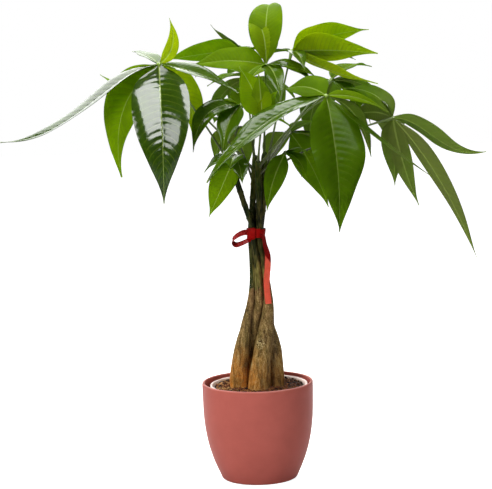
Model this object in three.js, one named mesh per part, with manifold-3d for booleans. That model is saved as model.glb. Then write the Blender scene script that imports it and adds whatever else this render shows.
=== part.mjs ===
// A potted money tree: five trunks wound together, tied with a red ribbon, in a
// nursery pot that stands in a round glazed pot. Palmate leaves radiate from the
// green tops of the trunks. Millimetres, +Z up, the front of the plant faces -Y,
// and the origin is the middle of the pot's underside.

import * as THREE from 'three';
import { mergeVertices } from 'three/addons/utils/BufferGeometryUtils.js';
import Module from 'manifold-3d';

const wasm = await Module();
wasm.setup();

// Driving dimensions

const CLEARANCE = 0.3;              // gap that touching pieces keep

const POT_HEIGHT = 123;
const POT_RADIUS = 70;              // outside, at the rim
const POT_FOOT_RADIUS = 45.5;       // flat part of the underside
const POT_FOOT_ROUND = 3;           // between the underside and the wall
const POT_LIP_ROUND = 2.4;
const POT_WALL = 3.4;
const POT_FLOOR = 5;
const POT_UPRIGHT_HEIGHT = 98;      // above it the wall is nearly upright
const POT_TAPER = 0.4;              // the wall's slope above that height
const POT_LOW_HANDLE = [58.5, 24];  // the curve of the belly, as radius and height
const POT_HIGH_HANDLE = [69.4, 50];
const POT_SIDES = 36;
const POT_CURVE_STEPS = 3;

const NURSERY_RIM_RADIUS = 61.5;
const NURSERY_FOOT_RADIUS = 42;
const NURSERY_TOP = 119.5;
const NURSERY_WALL = 1.6;
const NURSERY_OFFSET = 1.6;         // it stands a little right of the pot's axis
const NURSERY_SIDES = 28;
const NURSERY_RIM_DEPTH = 4;
const NURSERY_RIM_STEP = 2;         // the rim stands this far out of the plain wall
const DRAIN_HOLES = 5;
const DRAIN_RADIUS = 4;
const DRAIN_RING_RADIUS = 28;
const DRAIN_SIDES = 12;

const SOIL_LEVEL = 117;
const SOIL_RELIEF = 1.3;
const SOIL_COARSE_LUMP = 4.5;
const SOIL_FINE_LUMP = 2.4;
const MOUND_HEIGHT = 2.4;           // the soil rises towards the trunks
const MOUND_RADIUS = 30;
const SOIL_SIDES = 28;
const SOIL_RINGS = 6;

const TRUNK_FOOT = 78;              // the trunks end this deep in the soil
const TRUNK_SIDES = 10;
const NECK_HEIGHT = 300;            // where the ribbon ties the five together
const NECK_HALF = 10.4;             // half the width of the bundle there
const NECK_LEAN = 3.3;              // its middle stands this far right of the pot's axis

const BLADE_THICKNESS = 0.85;
const BLADE_FOLD = 13;              // both halves of a blade rise from the midrib
const BLADE_WAVE = 0.5;
const PETIOLE_RADIUS = 1.5;
const PETIOLE_SIDES = 6;
const HUB_RADIUS = 2.9;

const RIBBON_WIDTH = 10;
const RIBBON_THICKNESS = 0.8;

// Materials

function finish(color, roughness) {
  return new THREE.MeshStandardMaterial({ color, roughness, metalness: 0 });
}

const POT_GLAZE = finish(0xb06058, 0.4);
const WHITE_PLASTIC = finish(0xeadfd8, 0.5);
const SOIL_BROWN = finish(0x4a2f1c, 0.95);
const BARK = finish(0x7a6238, 0.8);
const RIBBON_RED = finish(0xa31515, 0.35);
const LEAF_GREEN = finish(0x4f7d12, 0.35);

const degrees = THREE.MathUtils.degToRad;
const vector = (x, y, z) => new THREE.Vector3(x, y, z);
const UP = vector(0, 0, 1);

// Solids

function toSolid(geometry) {
  const bare = geometry.clone();
  bare.deleteAttribute('normal');
  bare.deleteAttribute('uv');
  const merged = mergeVertices(bare, 1e-4);
  const mesh = new wasm.Mesh({
    numProp: 3,
    vertProperties: new Float32Array(merged.attributes.position.array),
    triVerts: new Uint32Array(merged.index.array),
  });
  return new wasm.Manifold(mesh);
}

function toGeometry(solid) {
  const mesh = solid.getMesh();
  const geometry = new THREE.BufferGeometry();
  geometry.setAttribute('position', new THREE.BufferAttribute(mesh.vertProperties, 3));
  geometry.setIndex(new THREE.BufferAttribute(mesh.triVerts, 1));
  geometry.computeVertexNormals();
  return geometry;
}

// One closed skin through rings of points that all have the same count. Each
// ring runs anticlockwise as seen from the end of the row. From point number
// flipFrom on, the squares are split along their other diagonal.
function skin(rings, fanFrom = 0, flipFrom = Infinity) {
  const count = rings[0].length;
  const positions = rings.flat().flatMap((p) => [p.x, p.y, p.z]);
  const triangles = [];
  for (let row = 0; row < rings.length - 1; row += 1) {
    for (let i = 0; i < count; i += 1) {
      const j = (i + 1) % count;
      const a = row * count + i;
      const b = row * count + j;
      const c = a + count;
      const d = b + count;
      if (i < flipFrom) triangles.push(a, b, d, a, d, c);
      else triangles.push(a, b, c, b, d, c);
    }
  }
  const last = (rings.length - 1) * count;
  for (let k = 1; k < count - 1; k += 1) {
    const i = (fanFrom + k) % count;
    const j = (fanFrom + k + 1) % count;
    triangles.push(fanFrom, j, i);
    triangles.push(last + fanFrom, last + i, last + j);
  }
  const geometry = new THREE.BufferGeometry();
  geometry.setAttribute('position', new THREE.Float32BufferAttribute(positions, 3));
  geometry.setIndex(triangles);
  return geometry;
}

function largestPiece(solid) {
  return solid.decompose().reduce((a, b) => (b.volume() > a.volume() ? b : a));
}

// Pots and soil

function lathe(points, sides) {
  return new THREE.LatheGeometry(points, sides).rotateX(Math.PI / 2);
}

function potGeometry() {
  const lipFoot = POT_HEIGHT - POT_LIP_ROUND;
  const inside = POT_RADIUS - POT_WALL;
  const footHeight = POT_FLOOR + POT_FOOT_ROUND;
  const [lowRadius, lowHeight] = POT_LOW_HANDLE;
  const [highRadius, highHeight] = POT_HIGH_HANDLE;
  const section = new THREE.Path();
  section.moveTo(0, 0);
  section.lineTo(POT_FOOT_RADIUS, 0);
  section.quadraticCurveTo(
    POT_FOOT_RADIUS + 0.7 * POT_FOOT_ROUND, 0.1 * POT_FOOT_ROUND,
    POT_FOOT_RADIUS + POT_FOOT_ROUND, POT_FOOT_ROUND,
  );
  section.bezierCurveTo(
    lowRadius, lowHeight,
    highRadius, highHeight,
    POT_RADIUS - POT_TAPER, POT_UPRIGHT_HEIGHT,
  );
  section.lineTo(POT_RADIUS, lipFoot);
  section.quadraticCurveTo(POT_RADIUS, POT_HEIGHT, POT_RADIUS - POT_WALL / 2, POT_HEIGHT);
  section.quadraticCurveTo(inside, POT_HEIGHT, inside, lipFoot);
  section.lineTo(inside - POT_TAPER, POT_UPRIGHT_HEIGHT);
  section.bezierCurveTo(
    highRadius - POT_WALL, highHeight,
    lowRadius - POT_WALL, lowHeight + POT_WALL,
    POT_FOOT_RADIUS + 1, footHeight,
  );
  section.quadraticCurveTo(POT_FOOT_RADIUS - 1, POT_FLOOR, POT_FOOT_RADIUS - POT_FOOT_ROUND, POT_FLOOR);
  section.lineTo(0, POT_FLOOR);
  return lathe(section.getPoints(POT_CURVE_STEPS), POT_SIDES);
}

const nurseryFloor = POT_FLOOR + CLEARANCE;

// Outside radius of the nursery pot's plain wall at a height
function nurseryRadius(z) {
  const share = (z - nurseryFloor) / (NURSERY_TOP - nurseryFloor);
  return THREE.MathUtils.lerp(NURSERY_FOOT_RADIUS, NURSERY_RIM_RADIUS - NURSERY_RIM_STEP, share);
}

function nurserySolid() {
  const rimFoot = NURSERY_TOP - NURSERY_RIM_DEPTH;
  const footInside = NURSERY_FOOT_RADIUS - NURSERY_WALL;
  const floorTop = nurseryFloor + NURSERY_WALL;
  const point = (r, z) => new THREE.Vector2(r, z);
  const profile = [
    point(0, nurseryFloor),
    point(NURSERY_FOOT_RADIUS - 2, nurseryFloor),
    point(NURSERY_FOOT_RADIUS, nurseryFloor + 2),
    point(nurseryRadius(rimFoot), rimFoot),
    point(NURSERY_RIM_RADIUS - 0.3, rimFoot),
    point(NURSERY_RIM_RADIUS, rimFoot + 1),
    point(NURSERY_RIM_RADIUS, NURSERY_TOP - 1),
    point(NURSERY_RIM_RADIUS - NURSERY_WALL / 2, NURSERY_TOP),
    point(NURSERY_RIM_RADIUS - 1.5 * NURSERY_WALL, NURSERY_TOP - 0.3),
    point(nurseryRadius(rimFoot) - NURSERY_WALL, rimFoot),
    point(footInside, floorTop + 1),
    point(footInside - 2, floorTop),
    point(0, floorTop),
  ];
  let solid = toSolid(lathe(profile, NURSERY_SIDES));
  for (let i = 0; i < DRAIN_HOLES; i += 1) {
    const angle = (i / DRAIN_HOLES) * 2 * Math.PI;
    const hole = new THREE.CylinderGeometry(DRAIN_RADIUS, DRAIN_RADIUS, 6 * NURSERY_WALL, DRAIN_SIDES);
    hole.rotateX(Math.PI / 2);
    hole.translate(DRAIN_RING_RADIUS * Math.cos(angle), DRAIN_RING_RADIUS * Math.sin(angle), nurseryFloor);
    solid = solid.subtract(toSolid(hole));
  }
  return solid.translate([NURSERY_OFFSET, 0, 0]);
}

// Height of the soil's lumps above its level at a place
function soilRelief(x, y) {
  const coarse = Math.sin(x / SOIL_COARSE_LUMP + 0.9) * Math.cos(y / SOIL_COARSE_LUMP - 0.5);
  const fine = Math.sin((x - 0.7 * y) / SOIL_FINE_LUMP) * Math.cos(y / SOIL_FINE_LUMP + 1.7);
  const mound = MOUND_HEIGHT * Math.exp(-(x * x + y * y) / MOUND_RADIUS ** 2);
  return SOIL_RELIEF * (coarse + 0.7 * fine) + mound;
}

function soilSolid(trunkHoles) {
  const foot = nurseryFloor + NURSERY_WALL + CLEARANCE;
  const clear = NURSERY_WALL + CLEARANCE + 0.5;
  const footRadius = nurseryRadius(foot) - clear;
  const edge = nurseryRadius(SOIL_LEVEL - 4) - clear;
  const profile = [
    new THREE.Vector2(0, foot),
    new THREE.Vector2(footRadius - 3, foot),
    new THREE.Vector2(footRadius, foot + 3),
    new THREE.Vector2(edge, SOIL_LEVEL - 4),
  ];
  for (let i = 0; i <= SOIL_RINGS; i += 1) {
    profile.push(new THREE.Vector2((edge - 0.6) * (1 - i / SOIL_RINGS), SOIL_LEVEL));
  }
  const geometry = lathe(profile, SOIL_SIDES);
  const position = geometry.attributes.position;
  for (let i = 0; i < position.count; i += 1) {
    const x = position.getX(i);
    const y = position.getY(i);
    if (position.getZ(i) > SOIL_LEVEL - 1) position.setZ(i, SOIL_LEVEL + soilRelief(x, y));
  }
  const soil = toSolid(geometry.translate(NURSERY_OFFSET, 0, 0));
  return largestPiece(trunkHoles.reduce((rest, hole) => rest.subtract(hole), soil));
}

// Trunks. Each is a row of level circles that touch no other trunk's.

// Each trunk: its place round the neck in degrees, its girth there as a share of the room it
// has, the tip of its green top, and its stations up to the neck: height, x, y and radius
const TRUNKS = [
  {
    name: 'trunk_front', place: -46, girth: 1, tip: vector(8, -12, 404),
    stations: [
      [TRUNK_FOOT, 1, -20, 12.6],
      [118, 1.6, -20.6, 13.8],
      [145, 4, -18.2, 12.9],
      [161, 7.1, -15.4, 12],
      [176, 9.9, -12.4, 11.2],
      [190, 12.8, -9.8, 10.1],
      [204, 14.7, -8.2, 8.6],
      [220, 16.4, -6.8, 6.7],
      [241, 15.6, -4.8, 5],
      [262, 13.4, -4, 4.2],
      [283, 10.8, -4.2, 3.8],
    ],
  },
  {
    name: 'trunk_right', place: 26, girth: 0.95, tip: vector(20, -5, 402),
    stations: [
      [TRUNK_FOOT, 21.5, -3.5, 10],
      [118, 24, -3.4, 10.4],
      [145, 23.4, -1, 10],
      [161, 22.6, 2.4, 9.5],
      [176, 20, 6.6, 8.4],
      [190, 17, 9.4, 7.3],
      [204, 14.2, 9.4, 6.4],
      [220, 12.9, 7.4, 5.4],
      [241, 12.6, 5.6, 4.6],
      [262, 11.8, 4.6, 4.1],
      [283, 10.8, 3.7, 3.7],
    ],
  },
  {
    name: 'trunk_back_right', place: 98, girth: 0.93, tip: vector(17, 9, 412),
    stations: [
      [TRUNK_FOOT, 13, 18.5, 9.4],
      [118, 13.5, 20, 9.8],
      [145, 12, 20.2, 9.2],
      [161, 8.5, 19.4, 8.3],
      [176, 5, 18, 7.3],
      [190, 2.6, 16.8, 6.8],
      [204, 2.2, 15.6, 6.4],
      [220, 2.5, 12.6, 5.7],
      [241, 3, 10, 4.8],
      [262, 4, 8.8, 4.1],
      [283, 4, 7.6, 3.7],
    ],
  },
  {
    name: 'trunk_left', place: 170, girth: 0.98, tip: vector(5, 8, 408),
    stations: [
      [TRUNK_FOOT, -20.8, -6.6, 10.8],
      [118, -23.2, -6.2, 11.8],
      [145, -21.9, -7, 10.8],
      [161, -19.4, -7.6, 10.1],
      [176, -16.3, -7.2, 8.8],
      [190, -13.4, -6.2, 7.3],
      [204, -10.6, -4.6, 6.2],
      [220, -6.6, -1.6, 5],
      [241, -3, 1, 4.2],
      [262, -2.4, 1.6, 3.9],
      [283, -2.7, 1.4, 3.7],
    ],
  },
  {
    name: 'trunk_back_left', place: 242, girth: 0.92, tip: vector(-25, -5, 400),
    stations: [
      [TRUNK_FOOT, -11, 16, 9],
      [118, -11.5, 17, 9.4],
      [145, -10, 13.5, 8.8],
      [161, -7.5, 9.2, 7.9],
      [176, -4.6, 4.8, 6.8],
      [190, -1.6, 1.2, 5.8],
      [204, 0.7, -1, 5.2],
      [220, 4.3, -3.8, 5],
      [241, 5, -5.8, 4.9],
      [262, 4.4, -6.4, 4.4],
      [283, 2.6, -6.2, 3.9],
    ],
  },
];

const PARTING_HEIGHT = 316;         // above it the green tops lean apart
const TOP_BOW = 0.15;               // they lean out a little faster at first
const TOP_RADIUS = 3.8;
const RING_SHARE = Math.sin(Math.PI / 5);

// Slope of the line through the stations at one of them, for one of its values
function slopeAt(stations, i, key) {
  const slope = (a, b) => (stations[b][key] - stations[a][key]) / (stations[b][0] - stations[a][0]);
  if (i === 0) return slope(0, 1);
  if (i === stations.length - 1) return slope(i - 1, i);
  const before = stations[i][0] - stations[i - 1][0];
  const after = stations[i + 1][0] - stations[i][0];
  return (after * slope(i - 1, i) + before * slope(i, i + 1)) / (before + after);
}

// The values of a smooth line through stations of [place, value, value ...]
function smoothBetween(stations, place) {
  const last = stations.length - 1;
  const at = THREE.MathUtils.clamp(place, stations[0][0], stations[last][0]);
  const next = stations.findIndex((station) => station[0] > at);
  const low = next < 0 ? last - 1 : next - 1;
  const width = stations[low + 1][0] - stations[low][0];
  const share = (at - stations[low][0]) / width;
  return stations[low].slice(1).map((value, i) => {
    const start = (1 + 2 * share) * (1 - share) ** 2 * value;
    const leave = share * (1 - share) ** 2 * width * slopeAt(stations, low, i + 1);
    const end = share ** 2 * (3 - 2 * share) * stations[low + 1][i + 1];
    const enter = share ** 2 * (1 - share) * width * slopeAt(stations, low + 1, i + 1);
    return start + leave + end - enter;
  });
}

// The middle and the radius of a trunk at a height
function trunkAt(trunk, z) {
  const ring = NECK_HALF / (1 + RING_SHARE);
  const angle = degrees(trunk.place);
  const room = ring * RING_SHARE - CLEARANCE / 2;
  const neck = [NECK_HEIGHT, PARTING_HEIGHT].map((height) => [
    height, NECK_LEAN + ring * Math.cos(angle), ring * Math.sin(angle), room * trunk.girth,
  ]);
  const [x, y, stout] = smoothBetween([...trunk.stations, ...neck], Math.min(z, PARTING_HEIGHT));
  const middle = vector(x, y, z);
  if (z > PARTING_HEIGHT) {
    const rise = (z - PARTING_HEIGHT) / (trunk.tip.z - PARTING_HEIGHT);
    middle.lerp(trunk.tip.clone().setZ(z), rise * (1 + TOP_BOW * (1 - rise)));
  }
  const taper = THREE.MathUtils.smoothstep(z, NECK_HEIGHT, trunk.tip.z);
  return { middle, radius: THREE.MathUtils.lerp(stout, TOP_RADIUS, taper) };
}

const TRUNK_LEVELS = [
  TRUNK_FOOT, 118, 132, 146, 158, 170, 182, 195, 208, 221, 234, 248, 266, 284,
  NECK_HEIGHT, PARTING_HEIGHT,
];
const TOP_SHARES = [0.25, 0.5, 0.75, 0.94];
const TIP_RADIUS = 1.6;

function trunkSkin(trunk, extra = 0) {
  const rise = trunk.tip.z - PARTING_HEIGHT;
  const levels = [...TRUNK_LEVELS, ...TOP_SHARES.map((share) => PARTING_HEIGHT + share * rise)];
  levels[0] -= extra;
  const right = vector(1, 0, 0);
  const ahead = vector(0, 1, 0);
  const rings = levels.map((z) => {
    const { middle, radius } = trunkAt(trunk, z);
    return circle(middle, radius + extra, right, ahead, TRUNK_SIDES);
  });
  const tip = trunk.tip.clone().setZ(trunk.tip.z + extra);
  rings.push(circle(tip, TIP_RADIUS + extra, right, ahead, TRUNK_SIDES));
  return skin(rings);
}

function circle(centre, radius, right, ahead, sides) {
  const points = [];
  for (let i = 0; i < sides; i += 1) {
    const angle = (i / sides) * 2 * Math.PI;
    points.push(centre.clone()
      .addScaledVector(right, radius * Math.cos(angle))
      .addScaledVector(ahead, radius * Math.sin(angle)));
  }
  return points;
}

// Leaves

// Share of a blade's length, and of its greatest width, along its outline
const OUTLINE = [
  [0, 0.06],
  [0.12, 0.34],
  [0.32, 0.98],
  [0.55, 0.9],
  [0.8, 0.4],
  [1, 0.03],
];

const NEAR_HANDLE = 0.3;            // places of the arc's two handles along its chord
const FAR_HANDLE = 0.63;

// An arc from the hub to the tip that stands out from its chord by arch x length.
// Flick bends its outer half further.
function bladeCurve(hub, reach, arch, flick) {
  const along = reach.clone().normalize();
  const outward = UP.clone().addScaledVector(along, -along.z).setLength(reach.length());
  const bend = (4 / 3) * arch;
  const near = hub.clone().addScaledVector(reach, NEAR_HANDLE).addScaledVector(outward, bend);
  const far = hub.clone().addScaledVector(reach, FAR_HANDLE).addScaledVector(outward, bend + flick);
  return new THREE.CubicBezierCurve3(hub, near, far, hub.clone().add(reach));
}

function bladeSkin(hub, [right, away, up, width, arch = 0.12, roll = 0, flick = 0]) {
  const reach = vector(right, away, up);
  const curve = bladeCurve(hub, reach, arch, flick);
  const level = vector(-away, right, 0).normalize();
  const rings = OUTLINE.map(([share, breadth], row) => {
    const centre = curve.getPoint(share);
    const along = curve.getTangent(share);
    const side = level.clone().applyAxisAngle(along, degrees(roll));
    const face = along.clone().cross(side).normalize();
    const half = (breadth * width) / 2;
    const wave = BLADE_WAVE * breadth * (row % 2 ? 1 : -1);
    const lift = half * Math.sin(degrees(BLADE_FOLD));
    const flat = half * Math.cos(degrees(BLADE_FOLD));
    const offset = (sideways, height) => centre.clone()
      .addScaledVector(side, sideways)
      .addScaledVector(face, height);
    const skinHalf = ((row === 0 ? 1.5 : 1) * BLADE_THICKNESS) / 2;
    return [
      offset(flat, lift + wave + skinHalf),
      offset(0, skinHalf),
      offset(-flat, lift - wave + skinHalf),
      offset(-flat, lift - wave - skinHalf),
      offset(0, -skinHalf),
      offset(flat, lift + wave - skinHalf),
    ];
  });
  return skin(rings, 4, 3);
}

// Rings across a curve, with the radius given for each share of its length
function tubeRings(curve, radii, sides) {
  return radii.map(([share, radius]) => {
    const centre = curve.getPoint(share);
    const along = curve.getTangent(share);
    const right = vector(along.y, -along.x, 0).normalize();
    const ahead = along.clone().cross(right).normalize();
    return circle(centre, radius, right, ahead, sides);
  });
}

// Radius of a petiole at each share of its length, from its trunk to the hub
const PETIOLE = [
  [0, 1.27 * PETIOLE_RADIUS],
  [0.1, 1.17 * PETIOLE_RADIUS],
  [0.5, PETIOLE_RADIUS],
  [0.9, PETIOLE_RADIUS],
  [0.965, HUB_RADIUS * 0.85],
  [1, HUB_RADIUS],
];

const HUB_CAP = 1.6;                // the hub's rounded end beyond the blades' bases

function petioleSkin(start, hub, sag) {
  const middle = start.clone().lerp(hub, 0.5);
  middle.z += sag;
  const curve = new THREE.QuadraticBezierCurve3(start, middle, hub);
  const rings = tubeRings(curve, PETIOLE, PETIOLE_SIDES);
  const along = curve.getTangent(1);
  const cap = rings.at(-1).map((p) => p.clone().lerp(hub, 0.5).addScaledVector(along, HUB_CAP));
  rings.push(cap);
  return skin(rings);
}

// A leaf of one petiole and its blades. The petiole leaves its trunk's green top
// at a height, and each blade is [right, away, up, width, arch, roll, flick]: its
// tip from the hub, its width, its arch, its turn about its own midrib and its flick.
const LEAVES = [
  {
    name: 'leaf_far_left', trunk: 'trunk_back_left', height: 390, sag: 14,
    hub: [-110, -20, 524],
    blades: [
      [-197, -10, -89, 38, 0.067, -14, -0.27],
      [-51, 8, -138, 60, 0.17, -58],
      [3, -55, -166, 70, 0.16, 4],
      [38, 36, -108, 40, 0.2, -12],
      [97, -16, -37, 40, 0.05, 15],
      [-36, 62, 16, 24, 0.05],
      [14, 10, 56, 17, -0.22, 55],
      [-77, 58, -12, 26, -0.2, -26],
    ],
  },
  {
    name: 'leaf_upper_left', trunk: 'trunk_left', height: 398, sag: 6,
    hub: [-7, 38, 538],
    blades: [
      [-40, 42, 33, 24, -0.08, 45],
      [-98, 8, -10, 42, 0.02, 38],
      [40, 62, -6, 34, 0.04],
      [-4, 90, -14, 38, 0.04],
      [-62, 66, -34, 36, 0.16],
    ],
  },
  {
    name: 'leaf_top', trunk: 'trunk_back_right', height: 402, sag: 4,
    hub: [21, 4, 519],
    blades: [
      [10, 98, 73, 43, 0.27, -6],
      [-20, 58, 50, 36, 0.34, -2],
      [-94, -4, 2, 44, 0.06, -42],
      [62, -14, -16, 34, 0.08, 14],
      [16, -48, -40, 25, 0.16],
      [-34, -34, -28, 28, 0.14],
      [62, -20, -30, 30, 0.14, 10],
    ],
  },
  {
    name: 'leaf_upper_right', trunk: 'trunk_right', height: 399, sag: 6,
    hub: [54, 22, 535],
    blades: [
      [96, -10, 24, 44, 0.06, -44],
      [105, -30, -5, 52, 0.02, -42],
      [103, -46, -42, 32, -0.04, -30],
      [-48, 36, -14, 30, 0.08],
      [14, -46, -22, 20, 0.12],
      [26, 92, -16, 38, 0.04],
      [84, 72, -14, 36, 0.06],
    ],
  },
  {
    name: 'leaf_front_right', trunk: 'trunk_front', height: 392, sag: 16,
    hub: [91, -75, 482],
    blades: [
      [11, -25, -161, 74, 0.06, -6],
      [-146, -22, -98, 54, 0.09, -14],
      [126, 12, -101, 24, -0.02, 16],
      [77, 35, -23, 19, 0.08, 38],
      [56, 46, -78, 29, 0.16],
      [-49, 52, 7, 42, 0.1, -30],
    ],
  },
  {
    name: 'leaf_far_right', trunk: 'trunk_right', height: 388, sag: 12,
    hub: [176, -10, 450],
    blades: [
      [112, -20, -43, 36, 0.09, -36, -0.36],
      [98, -26, -173, 34, 0.05, -46],
      [3, 24, -86, 32, 0.1],
      [33, 26, -112, 25, -0.04, -40],
      [-49, 24, 2, 34, 0.12, 60],
      [-58, 10, 38, 31, 0.17, -38],
      [4, 90, -44, 40, 0.14],
    ],
  },
  {
    name: 'leaf_centre', trunk: 'trunk_front', height: 400, sag: 4,
    hub: [14, -45, 455],
    blades: [
      [-26, 2, 64, 38, 0.06, -100],
      [-3, -14, 56, 26, 0.04],
      [20, -2, 34, 22, 0.06, -55],
      [-33, -6, -24, 22, 0.12],
      [36, 6, -12, 26, 0.12],
    ],
  },
  {
    name: 'leaf_centre_left', trunk: 'trunk_back_left', height: 397, sag: 6,
    hub: [-11, -14, 471],
    blades: [
      [-60, -28, -55, 36, 0.26, -20],
      [-43, 26, 3, 24, 0.08],
      [-24, -30, -56, 30, 0.14, -20],
      [8, 34, 22, 30, 0.12],
    ],
  },
  {
    name: 'leaf_low_left', trunk: 'trunk_back_left', height: 380, sag: 4,
    hub: [-20, -34, 410],
    blades: [
      [-34, -22, -72, 38, 0, -25],
      [-38, -12, -18, 26, 0.12, -10],
      [8, -22, -32, 24, 0.12],
      [-6, -40, -14, 26, 0.12],
    ],
  },
  {
    name: 'leaf_low_right', trunk: 'trunk_front', height: 384, sag: 3,
    hub: [42, -26, 412],
    blades: [
      [-25, -16, -70, 26, 0.06, -60],
      [24, -20, -30, 26, 0.16],
      [30, -6, -2, 26, 0.12],
      [19, 4, -31, 24, 0.14, 30],
    ],
  },
  {
    name: 'leaf_back_left', trunk: 'trunk_left', height: 388, sag: 10,
    hub: [-106, 84, 498],
    blades: [
      [-72, 34, -48, 42, 0.16],
      [-26, 70, -62, 46, 0.18],
      [-36, 14, -66, 38, 0.16, -20],
      [10, 72, -30, 40, 0.16],
      [-50, 64, 8, 34, 0.12],
      [30, 44, 22, 34, 0.12],
    ],
  },
  {
    name: 'leaf_back', trunk: 'trunk_left', height: 380, sag: 12,
    hub: [4, 118, 500],
    blades: [
      [-58, 44, -58, 36, 0.16],
      [-24, 84, -64, 42, 0.16],
      [42, 72, -60, 42, 0.16],
      [62, 14, -38, 36, 0.14],
      [-58, -22, -8, 34, 0.12],
      [24, 50, 10, 32, 0.12],
      [-34, 60, 2, 32, 0.12],
    ],
  },
  {
    name: 'leaf_back_right', trunk: 'trunk_back_right', height: 390, sag: 12,
    hub: [106, 92, 496],
    blades: [
      [78, 14, -46, 40, 0.16],
      [54, 64, -62, 40, 0.16],
      [-6, 84, -62, 42, 0.16],
      [-28, 44, -92, 40, 0.18],
      [38, -22, -70, 40, 0.16],
      [56, 50, 14, 36, 0.12],
    ],
  },
  {
    name: 'leaf_low_back', trunk: 'trunk_back_right', height: 378, sag: 6,
    hub: [50, 50, 432],
    blades: [
      [46, -20, -94, 42, 0.05, 50],
      [60, 24, -46, 36, 0.14],
      [32, 70, -54, 38, 0.16],
      [-28, 66, -56, 38, 0.16],
      [60, 56, 0, 34, 0.12],
    ],
  },
  {
    name: 'leaf_low_back_left', trunk: 'trunk_left', height: 372, sag: 6,
    hub: [-22, 66, 438],
    blades: [
      [-26, 52, -46, 30, 0.14],
      [-8, 78, -52, 34, 0.16],
      [16, 68, -64, 38, 0.16],
      [-20, 34, 24, 30, 0.1],
      [-26, 74, 4, 32, 0.12],
    ],
  },
];

function leafSolid(leaf) {
  const trunk = TRUNKS.find(({ name }) => name === leaf.trunk);
  const start = trunkAt(trunk, leaf.height).middle;
  const hub = vector(...leaf.hub);
  const parts = [toSolid(petioleSkin(start, hub, leaf.sag))];
  for (const blade of leaf.blades) parts.push(toSolid(bladeSkin(hub, blade)));
  const whole = parts.reduce((rest, part) => rest.add(part));
  return largestPiece(whole.subtract(toSolid(trunkSkin(trunk, CLEARANCE))));
}

// Ribbon: a band round the neck, a loop at the left and a tail at the right

const RIBBON_BAND_LEVEL = 311;
const RIBBON_BAND_SIDES = 24;
const RIBBON_STEPS = 12;
const RIBBON_LOOP = [
  vector(-3, -6, 313),
  vector(-13, -8, 312),
  vector(-22, -7, 307.5),
  vector(-26, -6, 302.5),
  vector(-22, -5, 297.5),
  vector(-14, -5, 299.5),
  vector(-4, -6, 305),
];
const RIBBON_TAIL = [
  vector(11.8, -7, 309),
  vector(14, -8.5, 297),
  vector(17, -10.5, 284),
  vector(16.6, -12.5, 270),
  vector(14.8, -15, 252),
  vector(15.2, -17.5, 238),
  vector(16.4, -20, 224),
];

// A strip of ribbon along a curve. Its breadth turns from one direction to another.
function stripSkin(points, breadthStart, breadthEnd) {
  const curve = new THREE.CatmullRomCurve3(points);
  const rings = [];
  for (let i = 0; i <= RIBBON_STEPS; i += 1) {
    const share = i / RIBBON_STEPS;
    const centre = curve.getPoint(share);
    const along = curve.getTangent(share);
    const turned = THREE.MathUtils.smoothstep(share, 0.15, 0.6);
    const breadth = breadthStart.clone().lerp(breadthEnd, turned);
    breadth.addScaledVector(along, -breadth.dot(along)).normalize();
    const face = along.clone().cross(breadth);
    const corner = (a, b) => centre.clone()
      .addScaledVector(breadth, (a * RIBBON_WIDTH) / 2)
      .addScaledVector(face, (b * RIBBON_THICKNESS) / 2);
    rings.push([corner(-1, -1), corner(1, -1), corner(1, 1), corner(-1, 1)]);
  }
  return skin(rings);
}

function ribbonSolid(trunkSkins) {
  const inside = NECK_HALF + CLEARANCE;
  const low = RIBBON_BAND_LEVEL - RIBBON_WIDTH / 2;
  const profile = [
    new THREE.Vector2(inside, low),
    new THREE.Vector2(inside + RIBBON_THICKNESS, low),
    new THREE.Vector2(inside + RIBBON_THICKNESS, low + RIBBON_WIDTH),
    new THREE.Vector2(inside, low + RIBBON_WIDTH),
    new THREE.Vector2(inside, low),
  ];
  const band = toSolid(lathe(profile, RIBBON_BAND_SIDES).translate(NECK_LEAN, 0, 0));
  const loop = toSolid(stripSkin(RIBBON_LOOP, vector(0, 1, 0.1), vector(0, 1, 0.5)));
  const tail = toSolid(stripSkin(RIBBON_TAIL, vector(0.05, 1, 0), vector(0.75, -0.66, 0)));
  const whole = band.add(loop).add(tail);
  return largestPiece(trunkSkins.reduce((rest, trunk) => rest.subtract(trunk), whole));
}

// Assembly

const tree = new THREE.Group();

function addPiece(name, geometry, material) {
  const mesh = new THREE.Mesh(geometry, material.clone());
  mesh.name = name;
  tree.add(mesh);
}

const fatTrunks = TRUNKS.map((trunk) => toSolid(trunkSkin(trunk, CLEARANCE)));

addPiece('pot', potGeometry(), POT_GLAZE);
addPiece('nursery_pot', toGeometry(nurserySolid()), WHITE_PLASTIC);
addPiece('soil', toGeometry(soilSolid(fatTrunks)), SOIL_BROWN);
for (const trunk of TRUNKS) addPiece(trunk.name, trunkSkin(trunk), BARK);
addPiece('ribbon', toGeometry(ribbonSolid(fatTrunks)), RIBBON_RED);
for (const leaf of LEAVES) addPiece(leaf.name, toGeometry(leafSolid(leaf)), LEAF_GREEN);

export default tree;
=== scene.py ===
# %% [markdown]
# # A potted money tree
#
# The money tree of a shop is several young trees in one pot: slim trunks that are wound round
# each other and tied with a ribbon, each with palm-shaped leaves at its green top. This lesson
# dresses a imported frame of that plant. The frame already holds every piece at its real size, so
# each piece here is made where its solid stands and takes over from it.

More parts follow.
